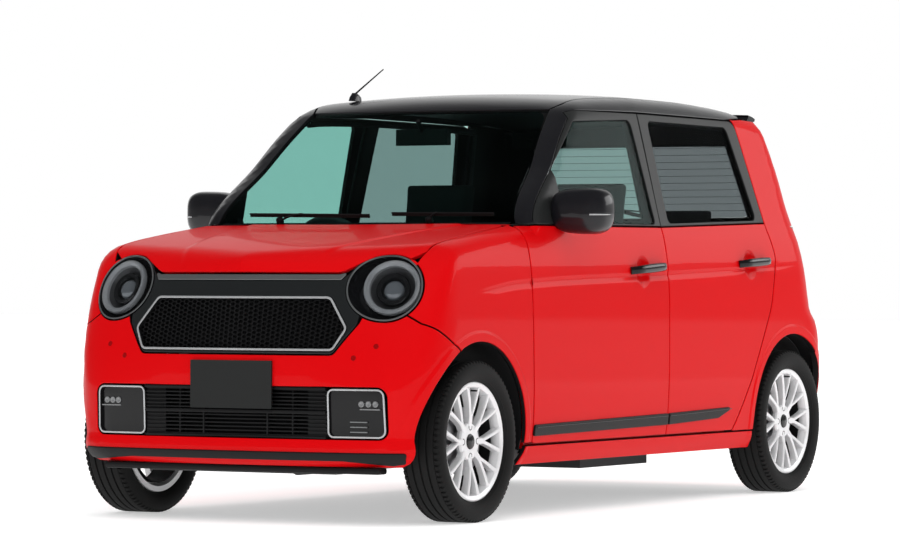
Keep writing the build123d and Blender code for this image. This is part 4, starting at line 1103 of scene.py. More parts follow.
# %% [markdown]
# ## Intake and fog lamps
# The low intake has two rows of thin slats between bars and posts. At each end a chrome frame holds a panel
# with three small lamps.
# %% Intake and fog lamps
FOG = [(372, 299, 22), (588, 299, 26), (583, 467, 26), (372, 467, 22)]
fog_ring = outline("front", ("front", FOG))
panel_pair("fog_frame_{}", "front", [fog_ring, shrunk(fog_ring, 6.5)], CHROME, slot="grille_dark", gap=0.0,
           roll=1.6, wall=24, depth=1, creases=False)
panel_pair("fog_panel_{}", "front", [shrunk(fog_ring, 5.0)], GLOSS_PLASTIC, slot="grille_dark", gap=0.0,
           roll=1.0, wall=6, depth=12, creases=False, step=60, nodes=["fog_lamps"])
band_ring = outline("front", ("front", BAND))
panel("intake_back", "front", [shrunk(band_ring, -6)], INNER, slot="grille_dark", gap=0.0, roll=0.5, wall=4,
      depth=52, creases=False, step=60)


led = []
for sign in (1, -1):
    for x in (497, 523, 549):
        c = nose_at(sign * x, 415, 10)
        led.append(lathe("led", [(10.5, -4), (10.5, 2), (8, 3), (4, 0), (0.3, -1), (0.3, -4)], c, (0, -1, 0),
                         LENS_RING, 24))
    c = nose_at(sign * 523, 397, 11)
    led.append(block("led_bar", c - [46, 3, 2], c + [46, 3, 2], LENS_RING, 0.8))
for z in (354, 337, 320):
    c = nose_at(486, z, 11)
    led.append(block("slot", c - [34, 3, 2.4], c + [34, 3, 2.4], GARNISH_LIGHT, 0.8))
dress(merged("fog_lights", *led), "body", "lamp_lens")

slats = []
for low, high, count in ((306, 372, 6), (398, 462, 6)):
    step = (high - low) / (count - 1)
    bar = block("slat", (-366, -4, -2.5), (366, 26, 2.5), PLASTIC, 1.0)
    c = nose_at(0, (low + high) / 2, 24)
    slats.append(moved(repeat("slats", bar, count, step=(0, 0, step * MM), material=PLASTIC), (0, c[1], low)))
for z, thick in ((385, 6), (300, 4), (467, 4)):
    c = nose_at(0, z, 12)
    slats.append(block("bar", (-368, c[1], z - thick), (368, c[1] + 40, z + thick), PLASTIC, 1.5))
for x in (-230, -130, 130, 230):
    c = nose_at(x, 385, 18)
    slats.append(block("post", (x - 3, c[1], 300), (x + 3, c[1] + 30, 467), PLASTIC, 1.0))
for sign in (1, -1):
    c = nose_at(sign * 330, 385, 14)
    slats.append(block("cheek", (sign * 290, c[1], 302), (sign * 369, c[1] + 30, 466), PLASTIC, 2.0))
dress(merged("intake_slats", *slats), "body", "grille_dark", "lower_grille")

# %% [markdown]
# ## Chin and sensors
# Under the bumper run a black lip and a plate that covers the radiator from below. Four parking sensors sit
# in the paint.
# %% Chin and sensors
chin = [(-600, 208, 14), (-430, 222, 60), (430, 222, 60), (600, 208, 14), (640, 214, 8), (654, 250, 6),
        (-654, 250, 6), (-640, 214, 8)]
panel("lip_strip", "nose", [outline("nose", ("front", chin))],
      PLASTIC, slot="grille_dark", gap=0.0, roll=3, wall=12, depth=-5, creases=False)
dress(merged("undertray", block("tray", (-385, -1625, 172), (385, -1380, 196), PLASTIC, 8),
             block("valance", (-560, -1640, 176), (560, -1582, 198), PLASTIC, 8)), "body", "grille_dark")
for sx, sz in ((543, 612), (467, 572)):
    for sign, label in ((1, "left"), (-1, "right")):
        c = nose_at(sign * sx, sz)
        n = normals_at(c[None])[0]
        dress(lathe(f"sensor_{label}_{sz}", [(9, -2), (9, 0.8), (7.5, 1.4), (7.2, 0.6), (0.3, 0.6),
                                             (0.3, -2)], c, n, RED_SHADE, 28),
              "body", "body_red")

# %% [markdown]
# ## Wheels
# Each alloy wheel has eight forked spokes, four nuts and a black cap. One spoke is lofted from a stem and two
# arms, and Geometry Nodes repeat it round the axle.
# %% Spokes
AXLE, HUB = (1, 0, 0), (0, 0, 0)


def round_axle(name, piece, count, material):
    """Copies of a piece round the X axis through the origin."""
    return repeat(name, piece, count, turn=(2 * math.pi / count, 0, 0), material=material)


def spoke():
    """One forked spoke that points up, its face towards +X."""
    def arm(name, path, wide, depth):
        rings = []
        for (x, y, z), w, d in zip(path, wide, depth):
            rings.append(np.array([(x - d, y - w, z), (x - 3, y - w, z), (x, y - w + 3.2, z),
                                   (x, y + w - 3.2, z), (x - 3, y + w, z), (x - d, y + w, z)]))
        return loft(name, rings[::-1], ALLOY)
    parts = [arm("stem", [(45, 0, 40), (46, 0, 62), (50, 0, 92)], (15, 12, 10), (22, 22, 24))]
    for s in (1, -1):
        end = math.radians(11.25) * s
        foot, tip = np.array([49.0, 2.5 * s, 84.0]), np.array([59.0, 190 * math.sin(end),
                                                               190 * math.cos(end)])
        path = [foot + (tip - foot) * t + np.array([2.5 * math.sin(math.pi * t), 0, 0])
                for t in (0, 0.3, 0.6, 1.0)]
        parts.append(arm("arm", path, (6.5, 6.5, 7, 8.5), (24, 24, 26, 30)))
    return merged("spoke", *parts)

# %% [markdown]
# ## Rim, hub and cap
# The nuts, rim, hub and cap are turned shapes, so each is one profile of (radius, height along the axle). The
# tyre's profile is written for one half and mirrored.
# %% Rim, hub and cap
def nut():
    """One wheel nut in its recess, above the axle."""
    return lathe("nut", [(0.4, 36), (9.5, 36), (9.5, 41.5), (11.5, 43.4), (11.5, 45.6), (8.5, 45.6),
                         (8.5, 40), (6.5, 41.5), (0.4, 42)], (0, 0, 50), AXLE, STEEL, 20)


rim_profile = [(203, 61.5), (206.5, 59.5), (207, 54), (203, 50), (198, 44), (190, 40), (186, 10), (184, -40),
               (190, -60), (205, -62), (207, -58), (205, -66), (186, -66), (178, -40), (179, 20), (184, 44),
               (188, 56), (196, 60.5)]
hub_profile = [(0.5, 30), (0.5, 43), (30, 44.5), (46, 45.5), (62, 43), (66, 36), (64, 24), (40, 20)]
cap_profile = [(0.5, 40), (0.5, 50), (18, 49.5), (25, 47.5), (27.5, 44), (27.5, 40)]
t_out, t_mid = 280.0, 274.0
half_tyre = [(206, 54), (207, 60), (213, 69), (224, 77), (240, 81.5), (254, 81), (264, 77), (270, 73),
             (t_mid, 68), (t_mid, 57), (t_out - 0.8, 55), (t_out, 50), (t_out, 34), (t_mid, 33), (t_mid, 27),
             (t_out, 26), (t_out, 4), (t_mid, 3)]
tyre_profile = [(r, x) for r, x in half_tyre] + [(r, -x) for r, x in half_tyre[::-1]]


def wheel_mesh():
    """The rim with all that turns inside it, about the origin."""
    parts = [lathe("rim", rim_profile, HUB, AXLE, ALLOY, 96),
             lathe("hub", hub_profile, HUB, AXLE, ALLOY, 48),
             # The barrel inside the rim is near black: painted shade for the shadow inside the wheel, where
             # the real barrel is alloy.
             lathe("barrel", [(172, -62), (172, 30), (168, 30), (168, -62)], HUB, AXLE, INNER, 64),
             lathe("cap", cap_profile, HUB, AXLE, GLOSS_PLASTIC, 40),
             round_axle("spokes", spoke(), 8, ALLOY),
             round_axle("nuts", nut(), 4, STEEL),
             lathe("disc", [(118, 6), (118, 14), (62, 14), (60, 22), (44, 22), (44, 6)], HUB, AXLE, DISC, 64),
             lathe("valve", [(3, 0), (3, 22), (2, 26), (0.3, 26), (0.3, 0)], (46, 0, 176), AXLE, INNER, 10)]
    return merged("wheel", *parts)

# %% [markdown]
# ## Tyre
# Three grooves run round the tread. The shoulder blocks are separate pieces repeated round the axle, because
# they are what shows from the side.
# %% Tyre
def tread_block(sign):
    """One block of the tread's shoulder, at the top of the tyre."""
    rings = []
    for r, low, high, wide in ((268.0, 62.0, 74.2, 5.6), (t_mid + 2, 58.0, 71.5, 5.6),
                               (278.2, 57.5, 68.0, 5.2), (t_out - 0.3, 58.0, 66.0, 4.8)):
        rings.append(np.array([(sign * low, -wide * 1.5, r), (sign * high, -wide, r), (sign * high, wide, r),
                               (sign * low, wide * 1.5, r)]))
    return loft("tread", rings, RUBBER)


def tyre_mesh():
    """The tyre about the origin."""
    parts = [lathe("tyre", tyre_profile, HUB, AXLE, RUBBER, 128)]
    for sign in (1, -1):
        parts.append(round_axle("shoulder", tread_block(sign), 84, RUBBER))
    bead = lathe("bead_line", [(214, 69.6), (216, 72.2), (218, 72.8), (216, 69)], HUB, AXLE, RUBBER, 96)
    return merged("tyre", *parts, bead)

# %% [markdown]
# ## Four wheels
# One wheel and one tyre are made about the origin and copied to the four hubs. The right ones are turned half
# round, not mirrored, so their faces stay outwards.
# %% Four wheels
wheel_source, tyre_source = wheel_mesh(), tyre_mesh()
for end, axle in (("front", FRONT_AXLE_Y), ("rear", REAR_AXLE_Y)):
    for side, sign in SIDES:
        for kind, source in (("wheel", wheel_source), ("tyre", tyre_source)):
            me = source.data.copy()
            if sign < 0:
                me.transform(Matrix.Rotation(math.pi, 4, "Z"))
            me.transform(Matrix.Translation(Vector((sign * WHEEL_X, axle, WHEEL_Z)) * MM))
            o = linked(f"{end}_{kind}_{side}_shown", me)
            node = f"{end}_{'rim' if kind == 'wheel' else 'tyre'}_{side}"
            dress(o, f"{end}_wheel_{side}", "wheel_alloy" if kind == "wheel" else "tyre_rubber", node)
for source in (wheel_source, tyre_source):
    bpy.data.objects.remove(source)

# %% [markdown]
# ## Inside the openings
# An arch liner is a thin curved sheet between the wheel and the bay behind it. It shows past the tyre. A
# Solidify modifier could give its wall, but two arcs at two widths are enough for a closed strip.
# %% Arch liners
LINER_POINTS, LINER_INNER_X, LINER_RADII, LIP_INSET = 50, 440.0, (338, 345), 22
for end, axle in (("front", FRONT_AXLE_Y), ("rear", REAR_AXLE_Y)):
    for side, sign in SIDES:
        a = np.radians(np.linspace(-8, 188, LINER_POINTS))
        rings = []
        lip_line = np.stack([axle + ARCH_RADIUS * np.cos(a), ARCH_Z + ARCH_RADIUS * np.sin(a)], 1)
        for x in (np.full(LINER_POINTS, LINER_INNER_X), skin_at("side", lip_line)[:, 0] - LIP_INSET):
            for r in LINER_RADII:
                rings.append(np.stack([sign * x, axle + r * np.cos(a), ARCH_Z + r * np.sin(a)], 1))
        n, faces = LINER_POINTS, []
        for i, j in ((0, 2), (2, 3), (3, 1), (1, 0)):
            faces += [(i * n + k, i * n + k + 1, j * n + k + 1, j * n + k) for k in range(n - 1)]
        liner = soft_edges(mesh_object(f"{end}_liner_{side}", np.concatenate(rings), faces, None, (INNER,)))
        dress(liner, "body", "trim_black")

# %% [markdown]
# ## Door posts
# Behind the shut lines stand the posts, sills and roof rails of the body shell. Each is a flat bar swept a
# little inside the skin.
# %% Door posts
POST_HALF, POST_INSET = 9, 44
POSTS = {"hinge": ([(-858, 262), (-876, 640), (-880, 1020)], 22, RED),
         "middle": ([(190, 215), (190, 1450)], 52, INNER),
         "rear": ([(775, 262), (925, 480), (1066, 728), (1120, 930), (1086, 1080), (1000, 1430)], 20, INNER),
         "foot": ([(-850, 246), (190, 246), (760, 246)], 14, RED),
         "head": ([(-280, 1448), (190, 1452), (1000, 1448)], 12, INNER)}


def on_flank(y, z, out):
    """A point beside the left flank, out from the skin."""
    p = skin_at("side", np.array([[y, z]], float))
    return (p + normals_at(p) * out)[0]


for label, (line, half, material) in POSTS.items():
    path = [on_flank(y, z, -POST_INSET) for y, z in rounded(line, False, 60.0)]
    left = swept(f"post_{label}_left", path, (half, POST_HALF), material, up=(1, 0, 0), square=0.5)
    dress_pair(left, f"post_{label}_{{}}", "body", "body_red")

# %% [markdown]
# ## Cowl
# A black plastic tray closes the gap between the bonnet and the windscreen.
# %% Cowl
cowl = outline("bonnet", ("top", [(600, -852), (0, -884, 3000), (-600, -852)]),
               ("front", [(-606, 1046), (606, 1046)]))
panel("cowl", "bonnet", [cowl], PLASTIC, slot="trim_black", gap=0.0, roll=1, wall=6, depth=9, creases=False,
      step=50)

# %% [markdown]
# ## Door mirrors
# What is bolted on outside comes next, each piece riding on its door or on the body. A door mirror is a
# rounded shell lofted from rings, dished at the back where the glass sits. It could be sculpted, but a short
# table of rings keeps its size easy to change.
# %% Door mirrors
def mirror_shell():
    """A rounded shell, flatter at its rear where the glass sits, on a short arm."""
    cx, cz, half_w, half_h, sweep = 782, 1084, 107, 82, 14
    rings, a = [], np.linspace(0, 2 * math.pi, 40, endpoint=False)
    c, s = np.cos(a), np.sin(a)
    for y, kx, kz in ((-648, 0.30, 0.25), (-646, 0.55, 0.5), (-638, 0.78, 0.76), (-622, 0.92, 0.92),
                      (-600, 0.985, 0.985), (-575, 1.0, 1.0), (-552, 1.0, 1.0), (-545, 0.98, 0.97),
                      (-541, 0.95, 0.93), (-546, 0.92, 0.90)):
        x = half_w * kx * np.sign(c) * np.abs(c) ** 0.55
        z = half_h * kz * np.sign(s) * np.abs(s) ** 0.6
        z = z * (1 + 0.05 * x / half_w) + np.where(z < 0, 6.0 * (x / half_w) ** 2, 0) * kz
        rings.append(np.stack([cx + x, y - sweep + sweep * (x / half_w), cz + z], 1))
    shell = loft("shell", rings, BLACK)
    pane = [np.stack([cx + 95 * np.sign(c) * np.abs(c) ** 0.55, y - sweep + 12 * c,
                      cz + 70 * np.sign(s) * np.abs(s) ** 0.6], 1) for y in (-552.0, -543.0)]
    glass = loft("mirror_glass", pane, finish("mirror_silver", (0.85, 0.86, 0.87), 0.02, metal=1.0))
    arm = swept("arm", [(664, -592, 1048), (700, -594, 1044), (738, -592, 1042), (772, -588, 1046)],
                [(26, 15), (24, 14), (22, 15), (20, 22)], PLASTIC, up=(0, 0, 1), square=0.7)
    line = swept("line", [(cx + half_w * k, y - 13 + sweep * k, cz - 13) for y, k in
                          ((-646, 0.56), (-638, 0.79), (-622, 0.93), (-600, 0.99), (-580, 1.0))],
                 [(2.6, 1.5), (2.6, 1.5), (2.2, 1.5), (1.6, 1.2), (0.6, 0.6)], CHROME, up=(1, -1, 0), count=8)
    return merged("door_mirror_left", shell, glass, arm, line)


dress_pair(mirror_shell(), "door_mirror_{}", "front_door_{}", "trim_black")

# %% [markdown]
# ## Door handles
# A handle bridges the cup that the fingers reach into. Its path is the mean of two lines on the skin above
# and below the cup, so that it doesn't sink into it.
# %% Door handles
CUP_CLEAR = 72.0
HANDLE_STEPS, HANDLE_FOOT, HANDLE_RISE, HANDLE_RAMP = 14, 4, 26, 0.12


def handle(name, y0, y1, z0, z1):
    """A bar from (y0, z0) to (y1, z1) that stands off the skin between its feet."""
    path = []
    for k, y in enumerate(np.linspace(y0, y1, HANDLE_STEPS + 1)):
        t = k / HANDLE_STEPS
        z, out = z0 + (z1 - z0) * t, HANDLE_FOOT + HANDLE_RISE * soft_step(min(t, 1 - t) / HANDLE_RAMP)
        path.append((on_flank(y, z + CUP_CLEAR, out) + on_flank(y, z - CUP_CLEAR, out)) / 2)
    swell = [3 * math.sin(math.pi * k / HANDLE_STEPS) for k in range(HANDLE_STEPS + 1)]
    sizes = [(14 + w, 8.5 + w) for w in swell]
    return swept(name, path, sizes, GLOSS_PLASTIC, up=(1, 0, 0), square=0.8)


for door, y0, y1, z0, z1 in (("front", -118, 143, 871, 886), ("rear", 797, 1044, 898, 909)):
    dress_pair(handle(f"{door}_handle_left", y0, y1, z0, z1), door + "_handle_{}", door + "_door_{}",
               "trim_black")

# %% [markdown]
# ## Door guards
# Dark strips protect the doors low down, each with a thin grey line along it.
# %% Door guards
GUARDS = {"front": [(-853, 287, 6), (SPLIT_Y - 5, 298, 4), (SPLIT_Y - 5, 340, 4), (-853, 327, 6)],
          "rear": [(SPLIT_Y + 5, 298, 4), (612, 311, 20), (744, 351, 6), (SPLIT_Y + 5, 340, 4)]}
for door, points in GUARDS.items():
    panel_pair(door + "_guard_{}", "side", [outline("side", ("side", points))], PLASTIC, door + "_door_{}",
               "trim_black", gap=0.0, roll=3.0, wall=9, depth=-7, creases=False, step=40)
GUARD_LINES = {"front": [(-840, 318), (180, 331)], "rear": [(200, 331), (716, 344)]}
for door, ((y0, z0), (y1, z1)) in GUARD_LINES.items():
    path = [on_flank(y, z0 + (y - y0) * (z1 - z0) / (y1 - y0), 7.2) for y in np.linspace(y0, y1, 14)]
    line = swept(f"{door}_guard_line_left", path, (1.6, 3.0), GARNISH, up=(1, 0, 0), count=8)
    dress_pair(line, door + "_guard_line_{}", door + "_door_{}", "trim_black")

# %% [markdown]
# ## Wipers
# Each wiper has a pivot, an arm that arches over the glass, a spine, and a rubber blade that lies on the
# glass.
# %% Wipers
def on_screen(x, z, out):
    """A point of the windscreen, moved out from the glass."""
    p = skin_at("front", np.array([[x, z]], float))
    return (p + normals_at(p) * out)[0]


def wiper(name, pivot, heel, tip):
    """An arm from its pivot, and a blade that lies on the glass."""
    (x0, z0), (x1, z1) = heel, tip
    blade = [on_screen(x0 + (x1 - x0) * t, z0 + (z1 - z0) * t, 6) for t in np.linspace(0, 1, 12)]
    spine = [p + np.array([0, -3, 6]) for p in blade]
    base = on_screen(*pivot, 2)
    arm = [base, (2 * base + spine[5]) / 3 + np.array([0, -5, 6]),
           (base + 2 * spine[5]) / 3 + np.array([0, -5, 6]),
           spine[5] + np.array([0, -2, 2])]
    return merged(name, swept("blade", blade, (2.5, 5), RUBBER, up=(0, 0, 1), count=8),
                  swept("spine", spine, (4, 4), PLASTIC, count=8),
                  swept("arm", arm, (5, 4), PLASTIC, count=10),
                  lathe("pivot", [(0.5, -8), (14, -8), (14, 8), (10, 13), (0.5, 14)], base, (0, -0.4, 0.9),
                        PLASTIC, 20))


dress(wiper("wiper_right", (-330, 1050), (-470, 1068), (60, 1062)), "body", "trim_black", "wipers")
dress(wiper("wiper_left", (300, 1050), (150, 1068), (545, 1066)), "body", "trim_black")

# %% [markdown]
# ## Aerial
# A short rod leans back from a streamlined foot on the roof.
# %% Aerial
AERIAL_X = -400
oval = [(math.cos(t), math.sin(t)) for t in np.linspace(0, 2 * math.pi, 20, endpoint=False)]
foot_rings = ((1512, 17, 40, -200), (1526, 15, 36, -198), (1536, 11, 24, -200), (1543, 7, 12, -206))
foot = loft("foot", [np.array([(AERIAL_X + half_x * c, mid_y + half_y * s, z) for c, s in oval])
                     for z, half_x, half_y, mid_y in foot_rings], BLACK)
rod = swept("rod", [(AERIAL_X, -206, 1536), (AERIAL_X, -170, 1554), (AERIAL_X, 8, 1641)],
            [(4.2, 4.2), (3.4, 3.4), (2.2, 2.2)], INNER, up=(1, 0, 0), count=12)
dress(merged("aerial", foot, rod), "body", "roof_black")

# %% [markdown]
# ## Cabin
# Seats are sewn cushions. Each starts as a closed soft box whose seams are already sunk a little. Held there
# while the rest is inflated, they leave crowned panels between them. The dashboard and the steering wheel are
# hard, and come from the CAD.
# %% Cushion grid
def pillow_grid(size, cells, seams):
    """A closed cushion about the origin, with the vertex numbers of its seams."""
    nx, ny = cells
    w, l, h = size
    verts, faces, held = [], [], []
    xs, ys = np.linspace(-1, 1, nx + 1), np.linspace(-1, 1, ny + 1)

    def height(u, v):
        edge = (1 - abs(u) ** 3.2) * (1 - abs(v) ** 3.2)
        return 0.5 * h * (0.55 + 0.45 * max(edge, 0) ** 0.5)

    for sign in (1, -1):
        for v in ys:
            for u in xs:
                pull = 1 - 0.04 * (1 - abs(v) ** 2) * abs(u) ** 6
                number = len(verts)
                on_seam = any(abs(u - s) < 1.01 / nx for axis, s in seams if axis == "u")
                on_seam = on_seam or any(abs(v - s) < 1.01 / ny for axis, s in seams if axis == "v")
                z = sign * height(u, v)
                if on_seam and sign > 0 and max(abs(u), abs(v)) < 0.999:
                    z -= 0.10 * h
                    held.append(number)
                if sign < 0 or max(abs(u), abs(v)) > 0.999:
                    held.append(number)
                verts.append((u * w / 2 * pull, v * l / 2, z))
    row, total = nx + 1, (nx + 1) * (ny + 1)
    for j in range(ny):
        for i in range(nx):
            a = j * row + i
            faces.append((a, a + 1, a + row + 1, a + row))
            faces.append((total + a, total + a + row, total + a + row + 1, total + a + 1))
    rim = [i for i in range(nx)] + [j * row + nx for j in range(ny)]
    rim += [ny * row + i for i in range(nx, 0, -1)] + [j * row for j in range(ny, 0, -1)]
    for k, a in enumerate(rim):
        b = rim[(k + 1) % len(rim)]
        faces.append((a, total + a, total + b, b))
    return np.array(verts), faces, held

# %% [markdown]
# ## Inflating a cushion
# The cloth solver puffs the grid up while the seams and the underside are held. Its result is applied to the
# mesh, and one level of subdivision smooths it.
# %% Inflating a cushion
def cushion(name, size, cells, seams=(), puff=1.0, frames=14):
    """An inflated cushion. The cloth solver runs on it."""
    verts, faces, held = pillow_grid(size, cells, seams)
    o = mesh_object(name, verts, faces, None, (CLOTH,))
    group = o.vertex_groups.new(name="held")
    group.add(held, 1.0, "REPLACE")
    cloth = o.modifiers.new("cloth", "CLOTH")
    cloth.settings.quality = 5
    cloth.settings.mass = 0.3
    cloth.settings.tension_stiffness = 14
    cloth.settings.compression_stiffness = 14
    cloth.settings.bending_stiffness = 0.6
    cloth.settings.use_pressure = True
    cloth.settings.uniform_pressure_force = puff
    cloth.settings.vertex_group_mass = "held"
    cloth.settings.effector_weights.gravity = 0.0
    cloth.collision_settings.use_collision = False
    cloth.point_cache.frame_start, cloth.point_cache.frame_end = 1, frames
    scene = bpy.context.scene
    for f in range(1, frames + 1):
        scene.frame_set(f)
    applied(o)
    scene.frame_set(1)
    smooth = o.modifiers.new("smooth", "SUBSURF")
    smooth.levels = smooth.render_levels = 1
    bpy.context.view_layer.update()
    me = applied(o)
    me.polygons.foreach_set("use_smooth", [True] * len(me.polygons))
    return o


def placed(source, name, centre, tilt=0.0, pieces=None):
    """A copy of a cushion turned about X by tilt degrees and put at centre."""
    me = source.data.copy()
    me.transform(Matrix.Translation(Vector(centre) * MM) @ Matrix.Rotation(math.radians(tilt), 4, "X"))
    o = linked(name, me)
    dress(o, "body", "seat_cloth", *(pieces or ()))
    return o

# %% [markdown]
# ## Ten cushions
# Six source cushions serve ten places: seats, backs and head restraints. Hard bases and chrome stalks carry
# them.
# %% Ten cushions
SEAMS = [("u", -0.55), ("u", 0.55)]
seat = cushion("seat_source", (490, 490, 150), (18, 18), SEAMS + [("v", 0.0)], 0.9)
back = cushion("back_source", (470, 640, 120), (18, 20), SEAMS + [("v", -0.35), ("v", 0.35)], 0.9)
head = cushion("head_source", (290, 225, 96), (12, 10), [], 0.7)
bench = cushion("bench_source", (905, 460, 125), (28, 16), [("u", -0.34), ("u", 0.34)], 0.9)
rest = cushion("rest_source", (905, 520, 105), (28, 16), [("u", -0.34), ("u", 0.34), ("v", 0.1)], 0.9)
small = cushion("small_source", (220, 150, 66), (12, 8), [], 0.7)
FRONT_SEAT_X, REAR_HEAD_X, RECLINE = 330, 230, 81
for side, sign in SIDES:
    x = sign * FRONT_SEAT_X
    placed(seat, f"front_seat_cushion_{side}", (x, -85, 358), 4, ["front_seats"])
    placed(back, f"front_seat_back_{side}", (x, 226, 660), RECLINE)
    placed(head, f"front_seat_head_{side}", (x, 318, 1092), RECLINE)
    placed(small, f"rear_seat_head_{side}", (sign * REAR_HEAD_X, 1330, 1040), RECLINE)
    dress(block(f"seat_base_{side}", (x - 205, -255, 224), (x + 205, 145, 300), TRIM, 14), "body",
          "seat_cloth")
    for k in (-1, 1):
        stalk = swept(f"head_stalk_{side}_{'in' if k < 0 else 'out'}",
                      [(x + 40 * k, 300, 960), (x + 40 * k, 312, 1030)],
                      (6, 6), CHROME, up=(0, 1, 0), count=10)
        dress(stalk, "body", "seat_cloth")
placed(bench, "rear_seat_cushion", (0, 1005, 562), 3, ["rear_seat"])
placed(rest, "rear_seat_back", (0, 1276, 762), RECLINE)
for source in (seat, back, head, bench, rest, small):
    bpy.data.objects.remove(source)

# %% [markdown]
# ## Tail
# Upright lamps stand beside the tailgate, red over a dark inside. Thin heater lines run across the rear glass
# just under its surface.
# %% Tail lamps and heater lines
panel_pair("tail_lens_{}", "tail", [tail_lens], TAIL_RED, slot="lamp_lens", nodes=["tail_lamps"],
           inner=TAIL_DARK, gap=2.0, roll=4.0, wall=20, depth=-2, creases=False, step=30)


def at_rear(x, z, out=0.0):
    """A point of the tail as seen from behind, moved out from the skin."""
    p = skin_at("rear", np.array([[-x, z]], float))
    return (p + normals_at(p) * out)[0]


lines = []
for z in np.arange(1120, 1405, 28.0):
    reach = 452 - (z - 1092) * 60 / 336
    path = [at_rear(x, z, -9.6) for x in np.linspace(-reach, reach, 9)]
    lines.append(swept("line", path, (0.9, 0.5), INNER, up=(0, 1, 0), count=6))
dress(merged("heater_lines", *lines), "tailgate", "window_glass")

# %% [markdown]
# ## Lip over the rear window
# A black blade runs across the top of the tailgate with the third stop lamp in its edge.
# %% Lip
LIP_HALF = 524
lip = []
for x in np.linspace(-LIP_HALF, LIP_HALF, 27):
    e = 1 - (abs(x) / LIP_HALF) ** 8 * 0.35
    root, tip = at_rear(x, 1458, 1), np.array([x, 1293 + 105 * e, 1484 - 6 * (x / LIP_HALF) ** 2])
    top = np.array([x, 1296, 1503 - 10 * (x / LIP_HALF) ** 2])
    lip.append(np.array([top, top * 0.45 + tip * 0.55 + [0, 0, 2.5], tip + [0, -6, 3], tip, tip + [0, -5, -9],
                         root * 0.5 + tip * 0.5 + [0, 0, -6], root, top + [0, 4, -8]]))
dress(loft("tail_lip", lip, BLACK), "tailgate", "roof_black", "rear_spoiler")
dress(block("stop_lamp", (-110, 1388, 1472), (110, 1397, 1480), TAIL_RED, 2), "tailgate", "lamp_lens")

# %% [markdown]
# ## Rear bumper insert, reflectors and grip
# Small pieces on the tail are placed by asking where the skin is, so they follow it if it changes.
# %% Insert, reflectors and grip
insert = outline("tail", ("rear", [(-500, 236, 30), (500, 236, 30), (470, 372, 40), (-470, 372, 40)]))
panel("rear_insert", "tail", [insert], PLASTIC, slot="trim_black", gap=0.0, roll=3, wall=10, depth=-4,
      creases=False)
for side, sign in SIDES:
    c = at_rear(sign * 560, 420)
    n = normals_at(c[None])[0]
    o = lathe(f"reflector_{side}", [(26, -4), (26, 2), (22, 4), (0.3, 4.5), (0.3, -4)], c, n, TAIL_RED, 32)
    dress(o, "body", "lamp_lens")
grip = block("tailgate_grip", at_rear(-170, 985, -6) + [0, 0, -16], at_rear(170, 985, 0) + [0, 12, 16],
             PLASTIC, 5)
dress(grip, "tailgate", "trim_black")

# %% [markdown]
# ## Rear wiper
# The rear wiper is the front one's shorter brother, on a round cap.
# %% Rear wiper
wiper_base = at_rear(0, 1072, 4)
blade = [at_rear(-30 - 360 * t, 1112 + 30 * t, 3) for t in np.linspace(0, 1, 8)]
arm = [wiper_base + [0, 12, 0], wiper_base + [-60, 22, 20], np.array(blade[4]) + [0, 12, 6]]
rear_wiper = merged("rear_wiper", swept("blade", blade, (3, 6), RUBBER, up=(0, 1, 0), count=8),
                    swept("arm", arm, (8, 6), PLASTIC, up=(0, 1, 0.2), count=10),
                    lathe("cap", [(0.5, -10), (20, -10), (20, 12), (14, 18), (0.5, 19)], wiper_base,
                          (0, 1, 0.3), PLASTIC, 24))
dress(rear_wiper, "tailgate", "trim_black")

# %% [markdown]
# ## Inner walls of the tail and roof
# Dark posts, a header and a headliner close the shell from inside, so that no paint shows through the glass.
# %% Inner walls
line = [(500, 1452), (532, 1320), (560, 1200), (590, 1060), (600, 900), (590, 770)]
left = swept("rear_post_left", [at_rear(x, z, -40) for x, z in line], (70, POST_HALF), INNER, up=(0, 1, 0),
             square=0.5)
dress_pair(left, "rear_post_{}", "body", "trim_black")
header = swept("rear_header", [at_rear(x, 1450, -42) for x in np.linspace(-530, 530, 15)], (54, POST_HALF),
               INNER, up=(0, 1, 0), square=0.5)
dress(header, "body", "trim_black")

ceiling = outline("roof", ("top", [(-505, -250), (505, -250), (505, 1262), (-505, 1262)]))
panel("headliner", "roof", [ceiling], INNER, slot="trim_black", gap=0.0, roll=1, wall=4, depth=44,
      creases=False, step=60)

# %% [markdown]
# ## Finishes on the CAD pieces
# What the CAD shapes well stays as it is and takes a finish by name: running gear, engine, tank, cabin parts,
# plates.
# %% CAD finishes
KEPT = {"dashboard": TRIM, "steering_wheel": TRIM, "room_mirror": INNER, "engine_block": ENGINE,
        "fuel_tank": CHASSIS, "exhaust": STEEL, "floor_pan": CHASSIS, "front_subframe": CHASSIS,
        "front_struts": CHASSIS, "rear_axle": CHASSIS,
        "steering_knuckle_left": STEEL, "steering_knuckle_right": STEEL, "front_plate": PLATE,
        "rear_plate": PLATE}
for name, material in KEPT.items():
    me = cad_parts[name].data
    if not me.materials:
        me.materials.append(material)
    for k in range(len(me.materials)):
        me.materials[k] = material

# %% [markdown]
# ## Floor
# The floor is a pale, slightly glowing sheet, so that it runs into the background without an edge. It is
# stage, not part of the car.
# %% Floor
def stage_floor():
    """A square sheet on the ground, far wider than the view."""
    me = bpy.data.meshes.new("floor")
    s = 60.0
    me.from_pydata([(-s, -s, 0), (s, -s, 0), (s, s, 0), (-s, s, 0)], [], [(0, 1, 2, 3)])
    me.materials.append(finish("floor_pale", (0.9, 0.9, 0.9), 0.7, shine=0.1, glow=0.5))
    linked("floor", me)


stage_floor()

